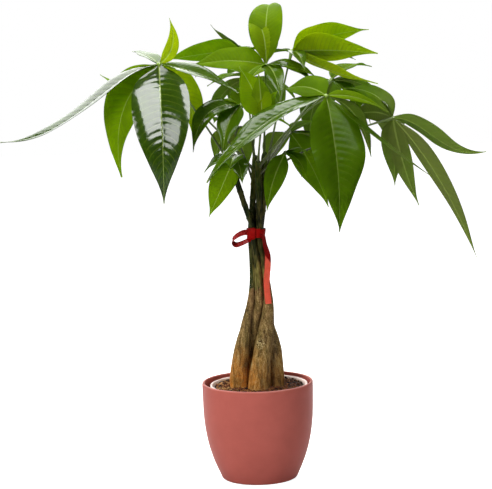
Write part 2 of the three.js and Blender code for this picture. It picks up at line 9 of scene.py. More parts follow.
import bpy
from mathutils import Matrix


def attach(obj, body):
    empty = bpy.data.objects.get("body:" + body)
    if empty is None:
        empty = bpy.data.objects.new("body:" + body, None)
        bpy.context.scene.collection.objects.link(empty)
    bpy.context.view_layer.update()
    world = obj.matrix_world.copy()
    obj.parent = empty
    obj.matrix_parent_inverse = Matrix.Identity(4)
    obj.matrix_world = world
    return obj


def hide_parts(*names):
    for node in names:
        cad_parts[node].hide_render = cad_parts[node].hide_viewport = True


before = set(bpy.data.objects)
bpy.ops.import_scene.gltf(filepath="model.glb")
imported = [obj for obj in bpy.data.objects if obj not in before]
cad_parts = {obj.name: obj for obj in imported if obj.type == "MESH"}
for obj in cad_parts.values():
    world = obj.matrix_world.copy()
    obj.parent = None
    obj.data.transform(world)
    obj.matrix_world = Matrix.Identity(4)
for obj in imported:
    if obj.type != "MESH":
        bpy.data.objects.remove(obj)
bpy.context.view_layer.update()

# %% [markdown]
# ## Tools for the bench
#
# Lengths in the tables are millimetres, as a grower would measure them, and MM brings them to
# Blender's metres. An operator acts on all that is selected, so every step starts by selecting
# only what it works on. One helper draws a smooth line through a few stations: the trunks'
# paths, the blade's outline and the stalks' girths are written that way, with only the points
# they need.

# %% Helpers for selecting and editing
import math
import random

import bmesh
import bpy
import numpy as np
from mathutils import Euler, Matrix, Vector, noise

MM = 0.001
UP = Vector((0, 0, 1))
SAME_PLACE = 1e-6


def pick(*pieces):
    """Selects only these pieces. The first one is the active one."""
    bpy.ops.object.select_all(action="DESELECT")
    for piece in pieces:
        piece.select_set(True)
    bpy.context.view_layer.objects.active = pieces[0]


def fresh(name):
    """Names the piece that the last operator added, and returns it."""
    piece = bpy.context.object
    piece.name = piece.data.name = name
    return piece


def add(name, operator, **settings):
    """Adds a shape with nothing else selected, and names it."""
    bpy.ops.object.select_all(action="DESELECT")
    operator(**settings)
    return fresh(name)


def twin(model):
    """A copy of a model with a mesh of its own."""
    copy = model.copy()
    copy.data = model.data.copy()
    bpy.context.scene.collection.objects.link(copy)
    return copy


def select_points(piece, chosen):
    """In edit mode, selects only the points whose place passes the test."""
    mesh = bmesh.from_edit_mesh(piece.data)
    for point in mesh.verts:
        point.select = chosen(point.co)
    mesh.select_flush_mode()
    bmesh.update_edit_mesh(piece.data)


def apply(piece, name, kind, **settings):
    """Adds a modifier with these settings and applies it."""
    pick(piece)
    modifier = piece.modifiers.new(name, kind)
    for key, value in settings.items():
        setattr(modifier, key, value)
    bpy.ops.object.modifier_apply(modifier=modifier.name)


def join(name, pieces):
    """Joins pieces into one that has this name."""
    pick(*pieces)
    if len(pieces) > 1:
        bpy.ops.object.join()
    return fresh(name)


def mend_normals(piece):
    """Merges doubles and turns every face of a closed shape outwards."""
    pick(piece)
    bpy.ops.object.mode_set(mode="EDIT")
    bpy.ops.mesh.select_all(action="SELECT")
    bpy.ops.mesh.remove_doubles(threshold=SAME_PLACE)
    bpy.ops.mesh.normals_make_consistent(inside=False)
    bpy.ops.object.mode_set(mode="OBJECT")


def shade(piece, degrees=40):
    """Shades smooth, with a crease where faces meet at more than this angle."""
    pick(piece)
    bpy.ops.object.shade_smooth_by_angle(angle=math.radians(degrees))


def settle(piece, slot, *nodes):
    """The finished piece rides on the plant's one body and takes over from its solids."""
    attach(piece, "root")
    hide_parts(*nodes)
    faces = sum(len(face.vertices) - 2 for face in piece.data.polygons)
    print(piece.name, "triangles:", faces)


# %% Helpers for points and smooth lines
def points_of(piece):
    """The places of a piece's points, one row each."""
    places = np.empty(len(piece.data.vertices) * 3)
    piece.data.vertices.foreach_get("co", places)
    return places.reshape(-1, 3)


def place_points(piece, places):
    piece.data.vertices.foreach_set("co", np.ravel(places))
    piece.data.update()


def smooth_between(stations, at):
    """Values at these places on a smooth line through (place, value, value ...) stations."""
    places = np.array([station[0] for station in stations], float)
    values = np.array([station[1:] for station in stations], float)
    slopes = np.gradient(values, places, axis=0)
    at = np.clip(np.atleast_1d(at), places[0], places[-1])
    low = np.clip(np.searchsorted(places, at, side="right") - 1, 0, len(places) - 2)
    width = (places[low + 1] - places[low])[:, None]
    share = (at - places[low])[:, None] / width
    return (
        (1 + 2 * share) * (1 - share) ** 2 * values[low]
        + share * (1 - share) ** 2 * width * slopes[low]
        + share**2 * (3 - 2 * share) * values[low + 1]
        - share**2 * (1 - share) * width * slopes[low + 1]
    )


def smoothstep(value, low, high):
    """Rises from 0 at low to 1 at high, without a corner."""
    share = min(1.0, max(0.0, (value - low) / (high - low)))
    return share * share * (3 - 2 * share)


def cubic_weights(t):
    """How much each of a cubic curve's four points counts at a share t of its way."""
    return (1 - t) ** 3, 3 * (1 - t) ** 2 * t, 3 * (1 - t) * t**2, t**3


def arc(start, corner, end, steps):
    """Points of a quadratic curve, without its start."""
    shares = [i / steps for i in range(1, steps + 1)]
    return [
        tuple((1 - t) ** 2 * a + 2 * (1 - t) * t * b + t**2 * c
              for a, b, c in zip(start, corner, end))
        for t in shares
    ]


def long_arc(start, first, second, end, steps):
    """Points of a cubic curve, without its start."""
    knots = (start, first, second, end)
    rows = [cubic_weights(i / steps) for i in range(1, steps + 1)]
    return [tuple(sum(w * knot[k] for w, knot in zip(row, knots)) for k in (0, 1))
            for row in rows]


# %% [markdown]
# ## Helpers for materials
#
# Every finish is built from nodes. Noise, ramps and mixes are wired by small helpers, so that a
# material reads as a short recipe. A number that is the same all over a surface is set straight
# on the shader's own socket. A shader reads places in metres, so its ranges of height are metres
# too.

# %% Helpers for nodes
def colour(red, green, blue):
    """A screen colour of 0 to 255 a channel as the linear light that Blender uses."""
    linear = [((c / 255 + 0.055) / 1.055) ** 2.4 if c > 10 else c / 3295
              for c in (red, green, blue)]
    return (*linear, 1)


def wire(tree, kind, inputs=None, **settings):
    """Adds a node. An input is a constant, or another node's output to link."""
    node = tree.nodes.new(kind)
    for key, value in settings.items():
        setattr(node, key, value)
    for key, value in (inputs or {}).items():
        if isinstance(value, bpy.types.NodeSocket):
            tree.links.new(value, node.inputs[key])
        else:
            node.inputs[key].default_value = value
    return node


def maths(tree, operation, first, second=0.0, third=0.0, clamp=False):
    inputs = {0: first, 1: second, 2: third}
    node = wire(tree, "ShaderNodeMath", inputs, operation=operation, use_clamp=clamp)
    return node.outputs[0]


def times(tree, first, second):
    return maths(tree, "MULTIPLY", first, second)


def apart(tree, vector):
    """The X, Y and Z of a vector, as outputs."""
    return wire(tree, "ShaderNodeSeparateXYZ", {"Vector": vector}).outputs


def ramp(tree, value, stops):
    """A colour ramp through (place, colour) stops."""
    node = wire(tree, "ShaderNodeValToRGB", {"Fac": value})
    elements = node.color_ramp.elements
    while len(elements) < len(stops):
        elements.new(1.0)
    for element, (place, shade_of_stop) in zip(elements, stops):
        element.position = place
        element.color = shade_of_stop
    return node.outputs["Color"]


def between(tree, value, low, high, to_low=0.0, to_high=1.0):
    """Maps low to high smoothly onto another range."""
    inputs = {"Value": value, "From Min": low, "From Max": high,
              "To Min": to_low, "To Max": to_high}
    node = wire(tree, "ShaderNodeMapRange", inputs, interpolation_type="SMOOTHSTEP")
    return node.outputs["Result"]


def blend(tree, share, first, second, mode="MIX"):
    """Mixes two colours. The node has sockets of one name, so they go by number."""
    inputs = {0: share, 6: first, 7: second}
    return wire(tree, "ShaderNodeMix", inputs, data_type="RGBA", blend_type=mode).outputs[2]


# %% Helpers for patterns and materials
def grain(tree, vector, scale, detail=4.0, roughness=0.55):
    inputs = {"Vector": vector, "Scale": scale, "Detail": detail, "Roughness": roughness}
    return wire(tree, "ShaderNodeTexNoise", inputs).outputs["Fac"]


def stretched(tree, vector, along):
    """A pattern's space, in which it is drawn out along the height where along is under 1."""
    node = wire(tree, "ShaderNodeMapping", {"Vector": vector, "Scale": (1.0, 1.0, along)})
    return node.outputs["Vector"]


def bump(tree, height, strength, distance, normal=None):
    inputs = {"Height": height, "Strength": strength, "Distance": distance}
    if normal:
        inputs["Normal"] = normal
    return wire(tree, "ShaderNodeBump", inputs).outputs["Normal"]


def new_material(name, **constants):
    """A material with its shader's constants set. Returns the material, its tree and shader."""
    material = bpy.data.materials.new(name)
    material.use_nodes = True
    shader = material.node_tree.nodes["Principled BSDF"]
    for key, value in constants.items():
        shader.inputs[key.replace("_", " ")].default_value = value
    return material, material.node_tree, shader


def own_place(tree):
    """A point's place on the object."""
    return wire(tree, "ShaderNodeTexCoord").outputs["Object"]


def painted(tree, name):
    """What the points of a piece say under this name."""
    return wire(tree, "ShaderNodeAttribute", attribute_name=name).outputs


def give_looks(tree, shader, base, normal):
    """Links a finish's colour and its bumps."""
    tree.links.new(base, shader.inputs["Base Color"])
    tree.links.new(normal, shader.inputs["Normal"])


def new_group(name, inputs, outputs):
    """An empty node group. Inputs are (name, kind, value) and outputs are (name, kind)."""
    group = bpy.data.node_groups.new(name, "ShaderNodeTree")
    for label, kind, value in inputs:
        socket = group.interface.new_socket(label, in_out="INPUT", socket_type=kind)
        socket.default_value = value
    for label, kind in outputs:
        group.interface.new_socket(label, in_out="OUTPUT", socket_type=kind)
    return group, group.nodes.new("NodeGroupInput"), group.nodes.new("NodeGroupOutput")


# %% [markdown]
# ## Wear and mottling
#
# No real surface is one even colour. Glaze pools, bark weathers, and a leaf is paler here and
# darker there. The same effect serves them all: two sizes of noise that push a colour a little
# lighter or darker. It is made once as a node group, and each material sets its own scale and
# amount.

# %% The mottling group
FLOAT, RGBA, VECTOR = "NodeSocketFloat", "NodeSocketColor", "NodeSocketVector"
FINE_PER_BROAD = 5.3
FINE_SHARE = 0.4
mottling, entry, leave = new_group(
    "mottling",
    [("Color", RGBA, (0.5, 0.5, 0.5, 1)), ("Vector", VECTOR, (0, 0, 0)), ("Scale", FLOAT, 20.0),
     ("Amount", FLOAT, 0.2)],
    [("Color", RGBA), ("Mask", FLOAT)],
)
given = entry.outputs
broad = grain(mottling, given["Vector"], given["Scale"], 2.0)
fine = grain(mottling, given["Vector"], times(mottling, given["Scale"], FINE_PER_BROAD), 3.0)
broad_part = times(mottling, broad, 1 - FINE_SHARE)
both = maths(mottling, "MULTIPLY_ADD", fine, FINE_SHARE, broad_part)
mask = between(mottling, both, 0.32, 0.68)
swing = times(mottling, maths(mottling, "SUBTRACT", mask, 0.5), 2.0)
value = maths(mottling, "MULTIPLY_ADD", swing, given["Amount"], 1.0)
toned = wire(mottling, "ShaderNodeHueSaturation", {"Color": given["Color"], "Value": value})
mottling.links.new(toned.outputs["Color"], leave.inputs["Color"])
mottling.links.new(mask, leave.inputs["Mask"])


def mottled(tree, even, place, scale, amount):
    """The group's outputs in a material: the uneven colour, and the mask that made it so."""
    inputs = {"Color": even, "Vector": place, "Scale": scale, "Amount": amount}
    return wire(tree, "ShaderNodeGroup", inputs, node_tree=mottling).outputs


print("group:", mottling.name)

# %% [markdown]
# ## Pots: turned by extruding a ring
#
# A pot is a turned shape. A profile could be spun round the axis, but here a ring of points is
# extruded up the profile step by step, because each step is then one push and one scaling, and
# no seam has to be closed. The glazed pot's wall is a Bezier curve from its foot to where it
# turns upright, and its lip is two quarter rounds.

# %% Extruding rings
def start_ring(name, sides, radius, place):
    """A disc at a place in millimetres, in edit mode, with all of it selected."""
    piece = add(name, bpy.ops.mesh.primitive_circle_add, vertices=sides, radius=radius * MM,
                fill_type="NGON", location=Vector(place) * MM)
    bpy.ops.object.transform_apply(location=True)
    bpy.ops.object.mode_set(mode="EDIT")
    bpy.ops.mesh.select_mode(type="EDGE")
    bpy.ops.mesh.select_all(action="SELECT")
    return piece


def next_ring(step, scale):
    """Extrudes the selected ring by a step, and scales what that made."""
    bpy.ops.mesh.extrude_edges_move(TRANSFORM_OT_translate={"value": step})
    bpy.ops.transform.resize(value=(scale, scale, 1))


def close_rings(piece):
    """Puts a face on the last ring and leaves edit mode."""
    bpy.ops.mesh.edge_face_add()
    bpy.ops.object.mode_set(mode="OBJECT")
    mend_normals(piece)


def turned(name, profile, sides, centre=0.0):
    """A closed solid from (radius, height) points in millimetres, both ends on a flat."""
    radius, height = profile[0]
    piece = start_ring(name, sides, radius, (centre, 0, height))
    for next_radius, next_height in profile[1:]:
        next_ring((0, 0, (next_height - height) * MM), next_radius / radius)
        radius, height = next_radius, next_height
    close_rings(piece)
    return piece


# %% The glazed pot
POT_HEIGHT = 123
POT_RADIUS = 70
POT_FOOT_RADIUS = 45.5
POT_FOOT_ROUND = 3
POT_LIP_ROUND = 2.4
POT_WALL = 3.4
POT_FLOOR = 5
POT_UPRIGHT_HEIGHT = 98
POT_TAPER = 0.4
POT_LOW_HANDLE = (58.5, 24)
POT_HIGH_HANDLE = (69.4, 50)
POT_UPPER_WALL = [(POT_RADIUS - 0.15, 108), (POT_RADIUS - 0.05, 117)]
POT_INNER_STEP = 112
POT_FIRST_RING = 6
POT_SIDES = 144

inside = POT_RADIUS - POT_WALL
lip_foot = POT_HEIGHT - POT_LIP_ROUND
lip_top = (POT_RADIUS - POT_WALL / 2, POT_HEIGHT)
wall_foot = (POT_FOOT_RADIUS + POT_FOOT_ROUND, POT_FOOT_ROUND)
foot_corner = (POT_FOOT_RADIUS + 0.7 * POT_FOOT_ROUND, 0.1 * POT_FOOT_ROUND)
upright = (POT_RADIUS - POT_TAPER, POT_UPRIGHT_HEIGHT)
inner_foot = (POT_FOOT_RADIUS + 1, POT_FLOOR + POT_FOOT_ROUND)
inner_corner = (POT_FOOT_RADIUS - 1, POT_FLOOR)
inner_handles = [(POT_HIGH_HANDLE[0] - POT_WALL, POT_HIGH_HANDLE[1]),
                 (POT_LOW_HANDLE[0] - POT_WALL, POT_LOW_HANDLE[1] + POT_WALL)]

pot_profile = [(POT_FIRST_RING, 0), (POT_FOOT_RADIUS - POT_FIRST_RING, 0),
               (POT_FOOT_RADIUS - 1, 0), (POT_FOOT_RADIUS, 0)]
pot_profile += arc(pot_profile[-1], foot_corner, wall_foot, 5)
pot_profile += long_arc(wall_foot, POT_LOW_HANDLE, POT_HIGH_HANDLE, upright, 26)
pot_profile += [*POT_UPPER_WALL, (POT_RADIUS, lip_foot)]
pot_profile += arc(pot_profile[-1], (POT_RADIUS, POT_HEIGHT), lip_top, 6)
pot_profile += arc(lip_top, (inside, POT_HEIGHT), (inside, lip_foot), 6)
pot_profile += [(inside - 0.1, POT_INNER_STEP), (inside - POT_TAPER, POT_UPRIGHT_HEIGHT)]
pot_profile += long_arc(pot_profile[-1], *inner_handles, inner_foot, 16)
pot_profile += arc(inner_foot, inner_corner, (POT_FOOT_RADIUS - POT_FOOT_ROUND, POT_FLOOR), 4)
pot_profile += [(POT_FIRST_RING, POT_FLOOR)]
pot = turned("glazed_pot", pot_profile, POT_SIDES)
shade(pot)
settle(pot, "pot_glaze", "pot")

# %% [markdown]
# The glaze is a dusty terracotta pink with a satin shine: broad soft lights, no sharp mirror.
# Three things keep it from looking like plain paint. The colour is a little uneven, the surface
# has the faint orange peel of fired glaze, and the lip is paler: the glaze runs thin there, and a
# painted highlight lies along it.

# %% The pot's glaze
TERRACOTTA = colour(174, 90, 80)
THIN_GLAZE_AND_HIGHLIGHT = colour(214, 140, 126)
GLAZE_SPECK = colour(120, 62, 55)
LIP_DEPTH = 2.2

glaze, tree, shader = new_material(
    "satin_glaze", Roughness=0.38, Specular_IOR_Level=0.12, IOR=1.4
)
place = own_place(tree)
height = apart(tree, place)["Z"]
# the lip is paler: the glaze runs thin there, and a painted highlight lies along it
lip = between(tree, height, (POT_HEIGHT - LIP_DEPTH) * MM, POT_HEIGHT * MM, 0.0, 0.45)
thin_glaze_and_highlight = blend(tree, lip, mottled(tree, TERRACOTTA, place, 14.0, 0.05)["Color"], THIN_GLAZE_AND_HIGHLIGHT)
specks = between(tree, grain(tree, place, 900.0, 1.0), 0.74, 0.8, 0.0, 0.16)
peel = grain(tree, place, 210.0, 2.0)
give_looks(tree, shader, blend(tree, specks, thin_glaze_and_highlight, GLAZE_SPECK), bump(tree, peel, 0.06, 0.0004))
pot.data.materials.append(glaze)
print("material:", glaze.name)

# %% [markdown]
# ## The nursery pot
#
# Inside stands the thin white pot that the plant was grown in. Only its rim shows, a little
# below the glazed lip and a little to the right, but it is whole: a tapered cup with a stepped
# rim and drain holes, which are cut with a Boolean modifier.

# %% The nursery pot
NURSERY_RIM_RADIUS = 61.5
NURSERY_FOOT_RADIUS = 42
NURSERY_TOP = 119.5
NURSERY_WALL = 1.6
NURSERY_OFFSET = 1.6
NURSERY_RIM_DEPTH = 4
NURSERY_RIM_STEP = 2
NURSERY_FLOOR = POT_FLOOR + 0.3
NURSERY_FOOT_ROUND = 2
NURSERY_FIRST_RING = 5
NURSERY_RINGS = (30, 60, 90)


def nursery_radius(height):
    """Outside radius of the plain wall at a height."""
    share = (height - NURSERY_FLOOR) / (NURSERY_TOP - NURSERY_FLOOR)
    top_radius = NURSERY_RIM_RADIUS - NURSERY_RIM_STEP
    return NURSERY_FOOT_RADIUS + share * (top_radius - NURSERY_FOOT_RADIUS)


rim_foot = NURSERY_TOP - NURSERY_RIM_DEPTH
floor_top = NURSERY_FLOOR + NURSERY_WALL
foot_inside = NURSERY_FOOT_RADIUS - NURSERY_WALL
rim_outside = (NURSERY_RIM_RADIUS - NURSERY_WALL / 2, NURSERY_TOP)
rim_inside = (NURSERY_RIM_RADIUS - 1.5 * NURSERY_WALL, NURSERY_TOP - 0.3)
nursery_profile = [(NURSERY_FIRST_RING, NURSERY_FLOOR),
                   (NURSERY_FOOT_RADIUS - NURSERY_FOOT_ROUND, NURSERY_FLOOR)]
nursery_profile += arc(nursery_profile[-1], (NURSERY_FOOT_RADIUS, NURSERY_FLOOR),
                       (NURSERY_FOOT_RADIUS, NURSERY_FLOOR + NURSERY_FOOT_ROUND), 4)
nursery_profile += [(nursery_radius(h), h) for h in (*NURSERY_RINGS, rim_foot - 1, rim_foot)]
nursery_profile += [(NURSERY_RIM_RADIUS - 0.4, rim_foot), (NURSERY_RIM_RADIUS, rim_foot + 0.4)]
nursery_profile += arc((NURSERY_RIM_RADIUS, NURSERY_TOP - 1), (NURSERY_RIM_RADIUS, NURSERY_TOP),
                       rim_outside, 4)
nursery_profile += arc(rim_outside, (rim_inside[0] + 0.2, NURSERY_TOP), rim_inside, 3)
nursery_profile += [(nursery_radius(rim_foot) - NURSERY_WALL, rim_foot), (foot_inside + 8, 60)]
nursery_profile += [(foot_inside, floor_top + 1), (foot_inside - 2, floor_top),
                    (NURSERY_FIRST_RING, floor_top)]
nursery = turned("grower_pot", nursery_profile, 96, NURSERY_OFFSET)

# %% The drain holes
DRAIN_HOLES = 5
DRAIN_RADIUS = 4
DRAIN_RING_RADIUS = 28
DRILL_DEPTH = 6

for i in range(DRAIN_HOLES):
    angle = 2 * math.pi * i / DRAIN_HOLES
    hole_place = (NURSERY_OFFSET + DRAIN_RING_RADIUS * math.cos(angle),
                  DRAIN_RING_RADIUS * math.sin(angle), NURSERY_FLOOR + NURSERY_WALL / 2)
    drill = add("drill", bpy.ops.mesh.primitive_cylinder_add, vertices=24,
                radius=DRAIN_RADIUS * MM, depth=DRILL_DEPTH * MM, location=Vector(hole_place) * MM)
    apply(nursery, "drain", "BOOLEAN", operation="DIFFERENCE", object=drill, solver="EXACT")
    bpy.data.objects.remove(drill)
shade(nursery, 35)
settle(nursery, "white_plastic", "nursery_pot")

# %% The nursery pot's plastic
DUSTY_WHITE = colour(226, 202, 190)
SOIL_STAIN = colour(140, 104, 78)
STAIN_LEVELS = (0.118, 0.113)

plastic, tree, shader = new_material("white_plastic", Roughness=0.42, IOR=1.46)
place = own_place(tree)
dusty = mottled(tree, DUSTY_WHITE, place, 30.0, 0.05)
stained = between(tree, apart(tree, place)["Z"], *STAIN_LEVELS, 0.0, 0.6)
stain = times(tree, dusty["Mask"], stained)
rubbed = grain(tree, stretched(tree, place, 6.0), 160.0)
give_looks(tree, shader, blend(tree, stain, dusty["Color"], SOIL_STAIN),
           bump(tree, rubbed, 0.05, 0.0003))
nursery.data.materials.append(plastic)
print("material:", plastic.name)

# %% [markdown]
# ## Trunks: a ring extruded along a winding line
#
# Five trunks stand in a ring at soil level and wind round each other as they climb, until the
# ribbon ties them at the neck. No two wind alike: the left one stays outside, a thin one comes
# out from behind it, and the front one leans over the right one. So each trunk has its own short
# table of stations. At the neck they are pressed into an even ring, and above it their green
# tops lean apart. The trunk itself is one ring of points, extruded upwards, moved and scaled at
# every step, and then subdivided once.

# %% Where the trunks run
TRUNK_FOOT = 78
SOIL_LEVEL = 117
NECK_HEIGHT = 300
PARTING_HEIGHT = 316
NECK_HALF = 10.4
NECK_LEAN = 3.3
TOP_BOW = 0.15
TOP_RADIUS = 3.8
RING_SHARE = math.sin(math.pi / 5)

# place in the neck's ring in degrees, girth there, tip of the green top,
# and below the neck (height, right, away, radius)
TRUNKS = {
    "trunk_front": (-46, 1, (8, -12, 404), [
        (TRUNK_FOOT, 1, -20, 12.6), (118, 1.6, -20.6, 13.8), (145, 4, -18.2, 12.9),
        (161, 7.1, -15.4, 12), (176, 9.9, -12.4, 11.2), (190, 12.8, -9.8, 10.1),
        (204, 14.7, -8.2, 8.6), (220, 16.4, -6.8, 6.7), (241, 15.6, -4.8, 5),
        (262, 13.4, -4, 4.2), (283, 10.8, -4.2, 3.8),
    ]),
    "trunk_right": (26, 0.95, (20, -5, 402), [
        (TRUNK_FOOT, 21.5, -3.5, 10), (118, 24, -3.4, 10.4), (145, 23.4, -1, 10),
        (161, 22.6, 2.4, 9.5), (176, 20, 6.6, 8.4), (190, 17, 9.4, 7.3), (204, 14.2, 9.4, 6.4),
        (220, 12.9, 7.4, 5.4), (241, 12.6, 5.6, 4.6), (262, 11.8, 4.6, 4.1),
        (283, 10.8, 3.7, 3.7),
    ]),
    "trunk_back_right": (98, 0.93, (17, 9, 412), [
        (TRUNK_FOOT, 13, 18.5, 9.4), (118, 13.5, 20, 9.8), (145, 12, 20.2, 9.2),
        (161, 8.5, 19.4, 8.3), (176, 5, 18, 7.3), (190, 2.6, 16.8, 6.8), (204, 2.2, 15.6, 6.4),
        (220, 2.5, 12.6, 5.7), (241, 3, 10, 4.8), (262, 4, 8.8, 4.1), (283, 4, 7.6, 3.7),
    ]),
    "trunk_left": (170, 0.98, (5, 8, 408), [
        (TRUNK_FOOT, -20.8, -6.6, 10.8), (118, -23.2, -6.2, 11.8), (145, -21.9, -7, 10.8),
        (161, -19.4, -7.6, 10.1), (176, -16.3, -7.2, 8.8), (190, -13.4, -6.2, 7.3),
        (204, -10.6, -4.6, 6.2), (220, -6.6, -1.6, 5), (241, -3, 1, 4.2),
        (262, -2.4, 1.6, 3.9), (283, -2.7, 1.4, 3.7),
    ]),
    "trunk_back_left": (242, 0.92, (-25, -5, 400), [
        (TRUNK_FOOT, -11, 16, 9), (118, -11.5, 17, 9.4), (145, -10, 13.5, 8.8),
        (161, -7.5, 9.2, 7.9), (176, -4.6, 4.8, 6.8), (190, -1.6, 1.2, 5.8), (204, 0.7, -1, 5.2),
        (220, 4.3, -3.8, 5), (241, 5, -5.8, 4.9), (262, 4.4, -6.4, 4.4), (283, 2.6, -6.2, 3.9),
    ]),
}


def neck_station(place, girth, height):
    """Where the ribbon presses a trunk to, as a station."""
    ring = NECK_HALF / (1 + RING_SHARE)
    angle = math.radians(place)
    right = NECK_LEAN + ring * math.cos(angle)
    return (height, right, ring * math.sin(angle), ring * RING_SHARE * girth)


def trunk_at(name, height):
    """The middle and the radius of a trunk at a height, in millimetres."""
    place, girth, tip, stations = TRUNKS[name]
    neck = [neck_station(place, girth, h) for h in (NECK_HEIGHT, PARTING_HEIGHT)]
    x, y, radius = smooth_between(stations + neck, min(height, PARTING_HEIGHT))[0]
    middle = Vector((x, y, height))
    if height > PARTING_HEIGHT:
        rise = (height - PARTING_HEIGHT) / (tip[2] - PARTING_HEIGHT)
        share = rise * (1 + TOP_BOW * (1 - rise))
        middle = middle.lerp(Vector((tip[0], tip[1], height)), share)
    taper = smoothstep(height, NECK_HEIGHT, tip[2])
    return middle, radius * (1 - taper) + TOP_RADIUS * taper


print("neck:", [round(x, 1) for x in trunk_at("trunk_front", NECK_HEIGHT)[0]])

# %% [markdown]
# Bark is relief as well as colour. Long shallow furrows run up the trunk, broad lumps make it
# grown and not lathed, and the green top has a ring where each old leaf fell. The height of all
# three is painted as a vertex group by formula, and a Displace modifier pushes the surface by
# it. On the front trunk an old wound has left a small raised scab.

# %% The bark's relief
BARK_RELIEF = 1.5
BARK_ENDS = (235, 275)
GREEN_STARTS = (318, 330)
CALM_FROM = (185, 205)
SCAR_STEP = 17.0
SCAR_WIDTH = 2.2
# middle of each lump of the scab, and its size
WOUNDS = [(4.8, -23.4, 178, 4.6), (6.6, -24.0, 170, 3.4)]


def ripple(around, height, turns, run, seed):
    """Noise from -1 to 1 round a trunk, with so many ripples a turn and so long a run."""
    return noise.noise(Vector((around.x * turns, around.y * turns, height / run + seed)))


def bark_height(place, axis, seed):
    """Relief from 0 to 1 at a point of a trunk, in millimetres, 0.5 being the plain surface."""
    around = (place - axis).normalized()
    height = place.z
    lumps = ripple(around, height, 1.3, 34, seed)
    furrows = ripple(around, height, 7, 42, 3 * seed)
    crackle = ripple(around, height, 14, 9, 5 * seed)
    woody = 1 - smoothstep(height, *BARK_ENDS)
    relief = 0.34 * lumps * (0.35 + 0.65 * woody)
    relief += (0.2 * furrows + 0.1 * crackle) * (0.3 + 0.7 * woody)
    relief *= 1 - 0.6 * smoothstep(height, *CALM_FROM)
    from_scar = (height + 5 * seed) % SCAR_STEP - SCAR_STEP / 2
    scar = smoothstep(height, *GREEN_STARTS) * math.exp(-(from_scar**2) / SCAR_WIDTH)
    wound = sum(
        math.exp(-((place - Vector((x, y, z))).length / size) ** 2) for x, y, z, size in WOUNDS
    )
    return min(1.0, max(0.0, 0.5 + relief + 0.22 * scar + 0.35 * wound * woody))


# %% Modelling the trunks
RING_STEP = 4.0
TRUNK_SIDES = 24
TIP_SHARE = 0.5


def grow_trunk(name, seed):
    """One trunk from its foot to its tip, with its relief."""
    tip = TRUNKS[name][2][2]
    rings = round((tip - TRUNK_FOOT) / RING_STEP)
    heights = [TRUNK_FOOT + (tip - TRUNK_FOOT) * i / rings for i in range(rings + 1)]
    middle, radius = trunk_at(name, heights[0])
    trunk = start_ring("grown_" + name, TRUNK_SIDES, radius, middle)
    for height in heights[1:]:
        next_middle, next_radius = trunk_at(name, height)
        if height == heights[-1]:
            next_radius = TIP_SHARE * TOP_RADIUS
        next_ring((next_middle - middle) * MM, next_radius / radius)
        middle, radius = next_middle, next_radius
    close_rings(trunk)
    apply(trunk, "rounding", "SUBSURF", levels=1, render_levels=1)
    relief = trunk.vertex_groups.new(name="bark")
    for point in trunk.data.vertices:
        place = point.co / MM
        axis = trunk_at(name, place.z)[0]
        relief.add([point.index], bark_height(place, axis, seed), "REPLACE")
    apply(trunk, "bark", "DISPLACE", vertex_group="bark", strength=BARK_RELIEF * 2 * MM,
          mid_level=0.0)
    places = points_of(trunk)
    normals = np.empty(len(places) * 3)
    trunk.data.vertices.foreach_get("normal", normals)
    place_points(trunk, places - normals.reshape(-1, 3) * BARK_RELIEF * MM)
    shade(trunk, 60)
    return trunk


trunks = [grow_trunk(name, 1.7 * i + 0.4) for i, name in enumerate(TRUNKS)]
for trunk, name in zip(trunks, TRUNKS):
    settle(trunk, "stem", name)

# %% [markdown]
# The bark's colour changes with height, as on the real plant: orange brown at the foot, grey
# brown above, then olive where the bark is still young, and dark green at the top. A ramp on the
# height does that, with noise on the height itself so that no border is a straight line. Low down
# the bark is also painted more orange towards the left. Streaks, paler flakes and dark furrows
# lie over it, and the scab is mottled pale and dark.

# %% The bark's colours by height
BARK_FOOT = 0.125
BARK_SPAN = 0.3
# share of the span above the foot, colour
BARK_COLOURS = [
    (0.03, colour(164, 122, 56)), (0.14, colour(142, 112, 58)), (0.3, colour(130, 105, 61)),
    (0.46, colour(124, 94, 58)), (0.47, colour(92, 90, 42)), (0.56, colour(122, 112, 56)),
    (0.575, colour(30, 35, 10)), (0.78, colour(27, 32, 9)), (0.96, colour(52, 68, 16)),
]
# the foot is painted more orange towards the left, low down and in patches
LEFT_FOOT_ORANGE = colour(228, 144, 54)
LEFT_FOOT_LEVELS = (0.205, 0.15)
LEFT_FOOT_SIDES = (0.012, -0.018)
STEM_GREEN = colour(34, 48, 20)
STEM_SIDES = (-0.0015, -0.003)
STEM_LEVELS = (0.2405, 0.243)
MOSS = colour(96, 88, 40)
MOSS_LEVELS = (0.14, 0.17)

bark, tree, shader = new_material("bark", IOR=1.45, Specular_IOR_Level=0.06)
place = own_place(tree)
across, height = apart(tree, place)["X"], apart(tree, place)["Z"]
wander = grain(tree, stretched(tree, place, 0.3), 130.0)
ragged = maths(tree, "MULTIPLY_ADD", wander, 0.05, height)
climb = maths(tree, "MULTIPLY_ADD", ragged, 1 / BARK_SPAN, -BARK_FOOT / BARK_SPAN, clamp=True)
base = ramp(tree, climb, BARK_COLOURS)
orange_side = between(tree, across, *LEFT_FOOT_SIDES, 0.2, 1.0)
orange_patch = between(tree, grain(tree, place, 85.0, 3.0), 0.36, 0.56, 0.35, 1.0)
orange_share = times(tree, times(tree, between(tree, ragged, *LEFT_FOOT_LEVELS), orange_side), orange_patch)
base = blend(tree, times(tree, orange_share, 0.82), base, LEFT_FOOT_ORANGE)
left_stem = times(tree, between(tree, across, *STEM_SIDES), between(tree, height, *STEM_LEVELS))
base = blend(tree, left_stem, base, STEM_GREEN)
moss = between(tree, grain(tree, stretched(tree, place, 0.5), 110.0, 3.0), 0.44, 0.6, 0.0, 0.38)
patched = blend(tree, times(tree, moss, between(tree, height, *MOSS_LEVELS)), base, MOSS)
print("bark colours:", len(BARK_COLOURS))

